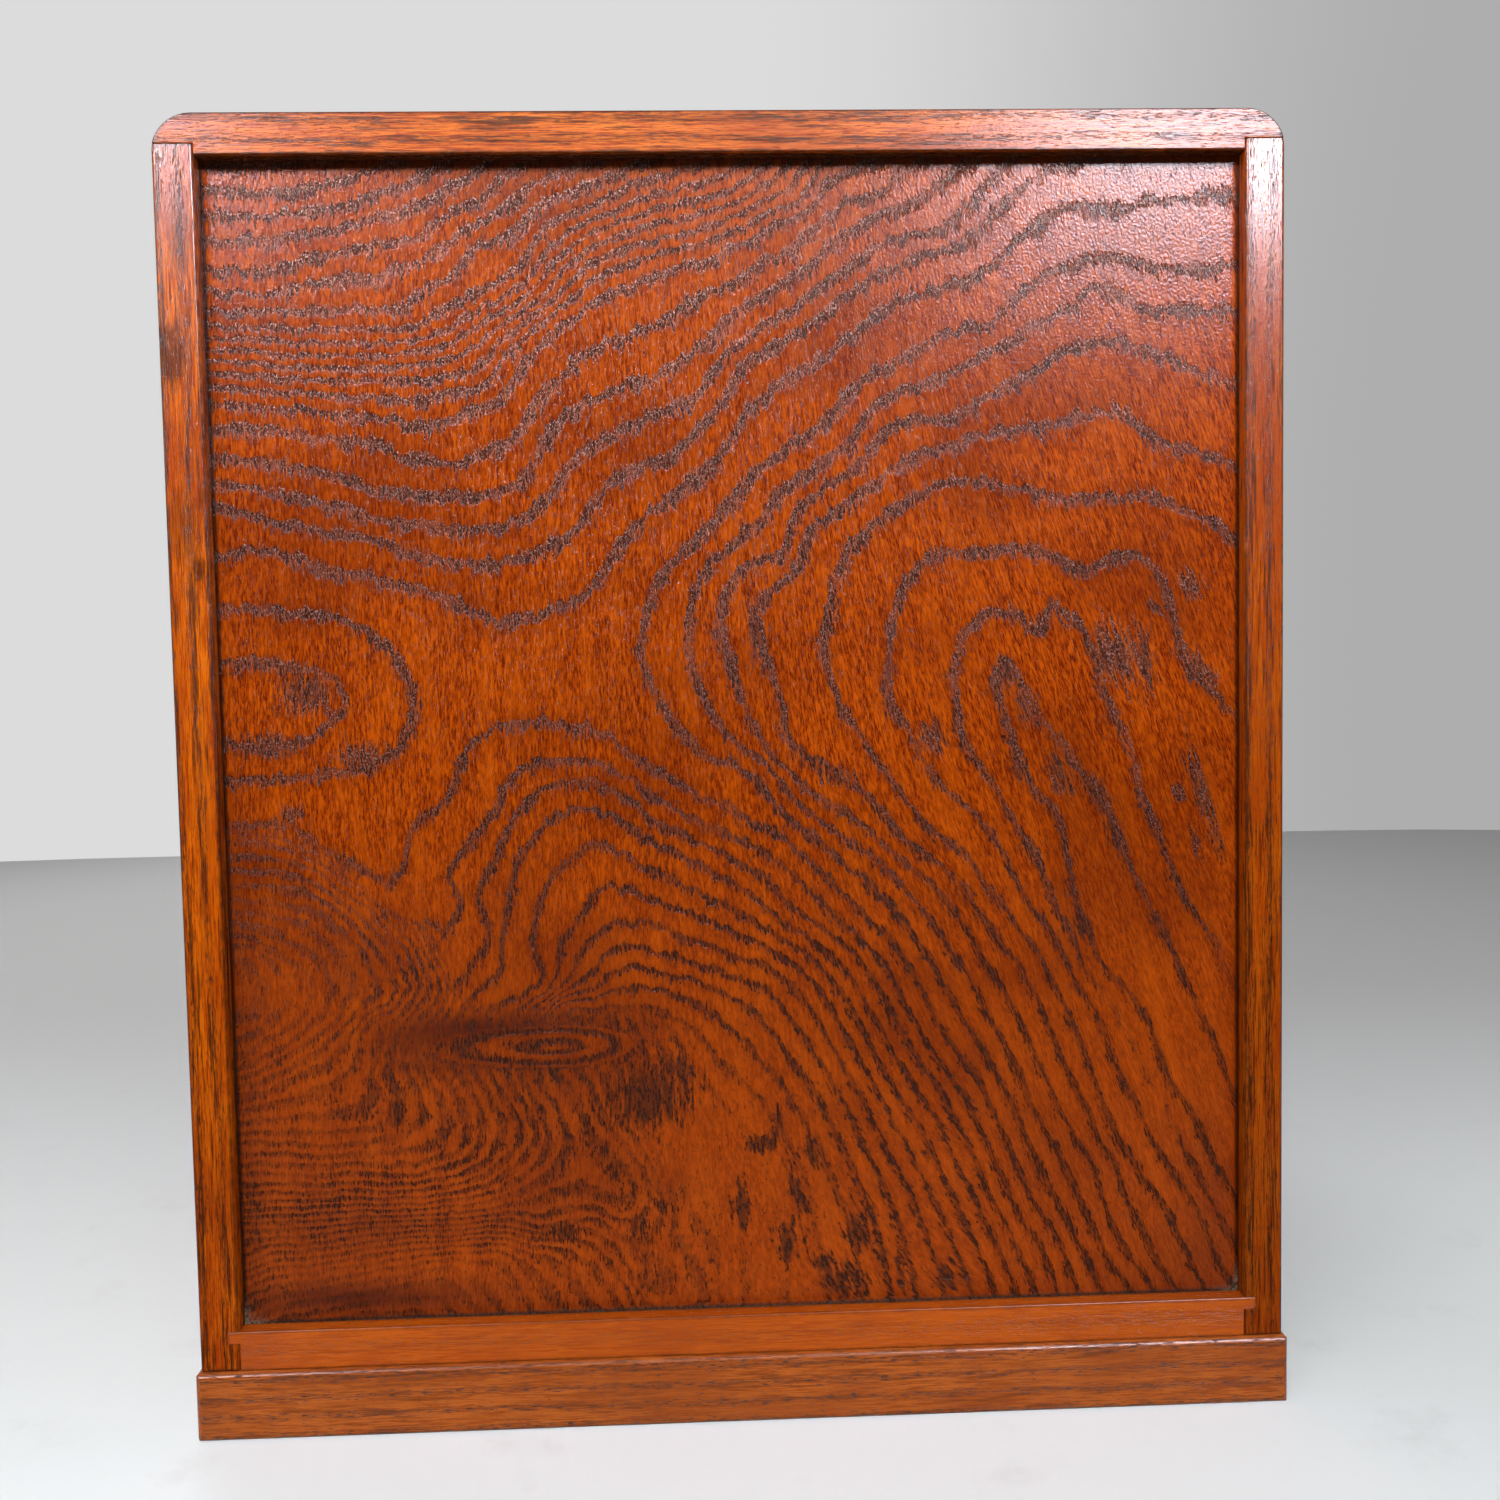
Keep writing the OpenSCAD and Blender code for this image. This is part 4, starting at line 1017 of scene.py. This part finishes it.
class CHEST_OT_plinth(bpy.types.Operator):
    """Four boards of the plinth with their rounded top edge, and the glued blocks inside"""
    bl_idname = "chest.plinth"
    bl_label = "Plinth"

    def execute(self, context):
        c, sizes = settings()
        tones = (c.plinth_light, c.plinth_deep, c.plinth_dark)
        for number, (side, axis) in enumerate((("front", "X"), ("back", "X"), ("left", "Y"), ("right", "Y"))):
            node = "plinth_" + side
            finish = wood_finish(node + "_lacquer", axis, tones, (0.12, 0.16), 130.0 + 7 * number,
                                 ring=0.0062, bands=0.10, strokes=0.55, pores=1.3, board=node, dirt_and_shade=1.0)
            eased_board(node, finish, sizes.arris)
        blocks = wood_finish("glue_block_wood", "Z", (c.box_light, c.box_deep, c.box_dark), (0.1, 0.3), 170.0,
                             strokes=0.3, pores=0.4, gloss=0.6)
        eased_board("plinth_glue_blocks", blocks, sizes.arris)
        return {"FINISHED"}


class CHEST_OT_drawer_fronts(bpy.types.Operator):
    """Five drawer fronts, cut from wide boards with arched figure"""
    bl_idname = "chest.drawer_fronts"
    bl_label = "Drawer fronts"

    def execute(self, context):
        c, sizes = settings()
        tones = (c.panel_bright, c.panel_ground, c.pore_dark)
        for number, drawer in enumerate(DRAWERS):
            node = drawer + "_drawer_front"
            low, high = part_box(node)
            pith = (low.y - 35 * MM, (low.z + high.z) / 2 + 6 * MM * (number % 3 - 1))
            finish = wood_finish(node + "_lacquer", "X", tones, pith, 200.0 + 13 * number, ring=0.0066,
                                 warp=0.045, length=0.20, bands=0.42, strokes=0.5, board=node, dirt_and_shade=0.6)
            eased_board(node, finish, sizes.arris)
        return {"FINISHED"}


class CHEST_OT_drawer_boxes(bpy.types.Operator):
    """Sides, backs and bottoms of the drawers, and the battens that stop them"""
    bl_idname = "chest.drawer_boxes"
    bl_label = "Drawer boxes"

    def execute(self, context):
        c, sizes = settings()
        tones = (c.box_light, c.box_deep, c.box_dark)
        looks = (("left_side", "Y", (0.2, 0.15), 300.0, 0.006), ("right_side", "Y", (0.1, 0.2), 311.0, 0.005),
                 ("back", "X", (0.3, 0.1), 322.0, 0.005), ("bottom", "X", (0.1, 0.5), 333.0, 0.008))
        finishes = {
            part: wood_finish(f"drawer_{part}_wood", axis, tones, pith, seed, ring=ring, bands=0.18,
                              strokes=0.2, pores=0.35, gloss=0.62, specular=0.3)
            for part, axis, pith, seed, ring in looks
        }
        for drawer in DRAWERS:
            for part, finish in finishes.items():
                eased_board(f"{drawer}_drawer_{part}", finish, sizes.box_arris)
        eased_board("drawer_stops", finishes["back"], sizes.arris)
        return {"FINISHED"}


class CHEST_OT_pulls(bpy.types.Operator):
    """Swinging bails, their posts with round eyes, and the rosettes under them"""
    bl_idname = "chest.pulls"
    bl_label = "Pulls"

    def execute(self, context):
        colours, sizes = settings()
        metal = metal_finish(colours)
        for drawer in DRAWERS:
            self.bail(drawer + "_", metal, sizes)
            self.posts(drawer + "_", metal)
            self.rosettes(drawer + "_", metal)
        return {"FINISHED"}

    def finish(self, drawer, name, part, worn, shape, metal):
        """A piece of a pull, with its worn value at each point, fitted to its CAD node."""
        piece = new_piece(drawer + name, *shape, metal)
        store(piece, "worn", worn)
        tidy_shell(piece)
        fit(piece, f"{drawer}drawer_pull_{part}")

    def places(self, drawer):
        """X of the posts, Y and Z of the bail's axis, and the low and high corners of the rosettes."""
        low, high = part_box(drawer + "drawer_pull_rosettes")
        bail_low, bail_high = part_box(drawer + "drawer_pull_bail")
        reach = (high.z - low.z) / 2
        ends = low.x + reach, high.x - reach
        return ends, (bail_low.y + bail_high.y) / 2, (low.z + high.z) / 2, low, high

    def bail(self, drawer, metal, sizes):
        """A round bar carried along the bail's line: in from one pin, down an arm, round a quarter bend,
        along the bow, and the same back up. Its radius swells towards the middle of the bow."""
        low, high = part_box(drawer + "drawer_pull_bail")
        _, pivot_y, pivot_z, _, _ = self.places(drawer)
        middle, bar, slim = (low.x + high.x) / 2, sizes.bail_bow, sizes.bail_arm
        arm, drop = (high.x - low.x) / 2 - bar, pivot_z - low.z - bar
        knuckle = bar * 0.7
        turn = np.linspace(0, np.pi / 2, 12)
        half = np.concatenate([np.column_stack(np.broadcast_arrays(*stretch))[skip:] for skip, stretch in (
            (0, (np.linspace(PIN_END, arm - knuckle, 8), 0.0)),
            (1, (arm - knuckle + knuckle * np.sin(turn), knuckle * np.cos(turn) - knuckle)),
            (1, (arm, np.linspace(-knuckle, BAIL_BEND - drop, 8))),
            (1, (arm - BAIL_BEND + BAIL_BEND * np.cos(turn), BAIL_BEND - drop - BAIL_BEND * np.sin(turn))),
            (1, (np.linspace(arm - BAIL_BEND, 0, 14), -drop)),
        )])
        line = np.concatenate([half * (-1, 1), half[-2::-1]])
        step = np.gradient(line, axis=0)
        step /= np.linalg.norm(step, axis=1)[:, None]
        run = np.concatenate([[0], np.cumsum(np.linalg.norm(np.diff(line, axis=0), axis=1))])
        share = np.abs(run / run[-1] - 0.5) * 2
        bulge = np.exp(-((np.abs(line[:, 0]) - arm) / (1.6 * MM)) ** 2 - (line[:, 1] / (2.2 * MM)) ** 2)
        swell = np.maximum(np.cos(np.clip(share / 0.75, 0, 1) * np.pi / 2) ** 2, bulge)
        on_pin = (np.abs(line[:, 0]) < arm - 2.2 * MM) & (line[:, 1] > -1e-6)
        thick = np.where(on_pin, PIN_RADIUS, slim + (bar - slim) * swell)
        thick[0] = thick[-1] = 0
        line[0], line[-1] = line[1], line[-2]
        out, lift = np.cos(around(20)), np.sin(around(20))
        side = thick[:, None] * out
        points = np.stack([
            middle + line[:, :1] - side * step[:, 1:],
            pivot_y + thick[:, None] * lift,
            pivot_z + line[:, 1:] + side * step[:, :1],
        ], -1)
        bow = np.clip(1 - share / 0.5, 0, 1)[:, None]
        self.finish(drawer, "bail", "bail", 0.25 + 0.45 * bow * np.clip(0.4 - lift, 0, 1),
                    (points, grid_faces(len(line), 20, True)), metal)

    def posts(self, drawer, metal):
        """Turned posts: a domed rivet head inside, the shank, a bead, and an eye, which is a ball with a bore
        turned about the bail's own axis."""
        ends, pivot_y, pivot_z, _, _ = self.places(drawer)
        inner_y, top = [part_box(drawer + "drawer_pull_posts")[1][i] for i in (1, 2)]
        neck = inner_y - pivot_y - EYE_RADIUS * 0.93
        turn = np.linspace(0, math.pi / 2, 8)
        dome = np.column_stack([(top - pivot_z) * np.sin(turn), RIVET_THICK * (1 - np.cos(turn))])
        shank = [(SHANK_RADIUS, RIVET_THICK), *[(r * MM, neck + h * MM) for r, h in SHANK_BEAD]]
        open_by = math.asin(BORE_RADIUS / EYE_RADIUS)
        turn = np.linspace(open_by, math.pi - open_by, 22)
        ball = EYE_RADIUS * np.column_stack([np.sin(turn), -np.cos(turn)])
        parts = []
        for x in ends:
            parts.append(turned([*dome, *shank], 32, (x, inner_y, pivot_z), (0, -1, 0), (1, 0, 0)))
            parts.append(turned([*ball, ball[0]], 36, (x, pivot_y, pivot_z), (1, 0, 0), (0, 1, 0)))
        shape = joined(parts)
        worn = 0.15 + 0.5 * np.clip((pivot_y - shape[0][:, 1]) / EYE_RADIUS, 0, 1)
        self.finish(drawer, "pull_posts", "posts", worn, shape, metal)

    def rosettes(self, drawer, metal):
        """Flat discs with petals: the height is a low dome with a beaded rim, raised and sunk by twelve
        ripples round the disc, and the rim runs in a little between the petals."""
        ends, _, pivot_z, low, high = self.places(drawer)
        reach, sides = (high.z - low.z) / 2, 96
        angle = around(sides)
        share, rise = np.array(ROSETTE_PROFILE).T[:, :, None]
        ripple = np.cos(PETALS * angle)[None]
        on_petals = np.clip((share - 0.36) / 0.1, 0, 1) * np.clip((1.02 - share) / 0.1, 0, 1)
        run_in = 1 - 0.035 * (1 - ripple) * np.clip(share - 0.4, 0, 1)
        out = ROSETTE_HOLE + (reach - ROSETTE_HOLE) * share * run_in
        up = (high.y - low.y) * np.clip(rise + 0.14 * on_petals * ripple, 0, 1)
        first, last = np.arange(sides), (len(share) - 1) * sides + np.arange(sides)
        close = np.stack([last, first, np.roll(first, -1), np.roll(last, -1)], -1)
        quads = np.concatenate([grid_faces(len(share), sides, True), close])
        discs = [
            np.stack([x + out * np.cos(angle), high.y - up, pivot_z + out * np.sin(angle)], -1) for x in ends
        ]
        worn = np.tile((0.1 + 0.5 * rise * (0.5 + 0.5 * ripple)).ravel(), 2)
        self.finish(drawer, "pull_rosettes", "rosettes", worn,
                    joined([(disc.reshape(-1, 3), quads) for disc in discs]), metal)


OPERATORS = (
    CHEST_OT_stage, CHEST_OT_back_panel, CHEST_OT_case_boards, CHEST_OT_shelves, CHEST_OT_plinth,
    CHEST_OT_drawer_fronts, CHEST_OT_drawer_boxes, CHEST_OT_pulls,
)


class VIEW3D_PT_chest(bpy.types.Panel):
    """Lists the chest's pieces and settings"""
    bl_idname = "VIEW3D_PT_chest"
    bl_label = "Chest"
    bl_space_type = "VIEW_3D"
    bl_region_type = "UI"
    bl_category = "Chest"

    def draw(self, context):
        for group in settings():
            box = self.layout.box()
            for name in group.bl_rna.properties.keys():
                if name not in ("rna_type", "name"):
                    box.prop(group, name)
        for operator in OPERATORS:
            self.layout.operator(operator.bl_idname)


CLASSES = (ChestColours, ChestSizes, *OPERATORS, VIEW3D_PT_chest)


def register():
    """Adds the classes and the two groups of settings."""
    for each in CLASSES:
        bpy.utils.register_class(each)
    bpy.types.Scene.chest_colours = bpy.props.PointerProperty(type=ChestColours)
    bpy.types.Scene.chest_sizes = bpy.props.PointerProperty(type=ChestSizes)


def unregister():
    """Takes them away again."""
    del bpy.types.Scene.chest_sizes
    del bpy.types.Scene.chest_colours
    for each in reversed(CLASSES):
        bpy.utils.unregister_class(each)


def main():
    register()
    for operator in OPERATORS:
        group, name = operator.bl_idname.split(".")
        getattr(getattr(bpy.ops, group), name)()


if __name__ == "__main__":
    main()
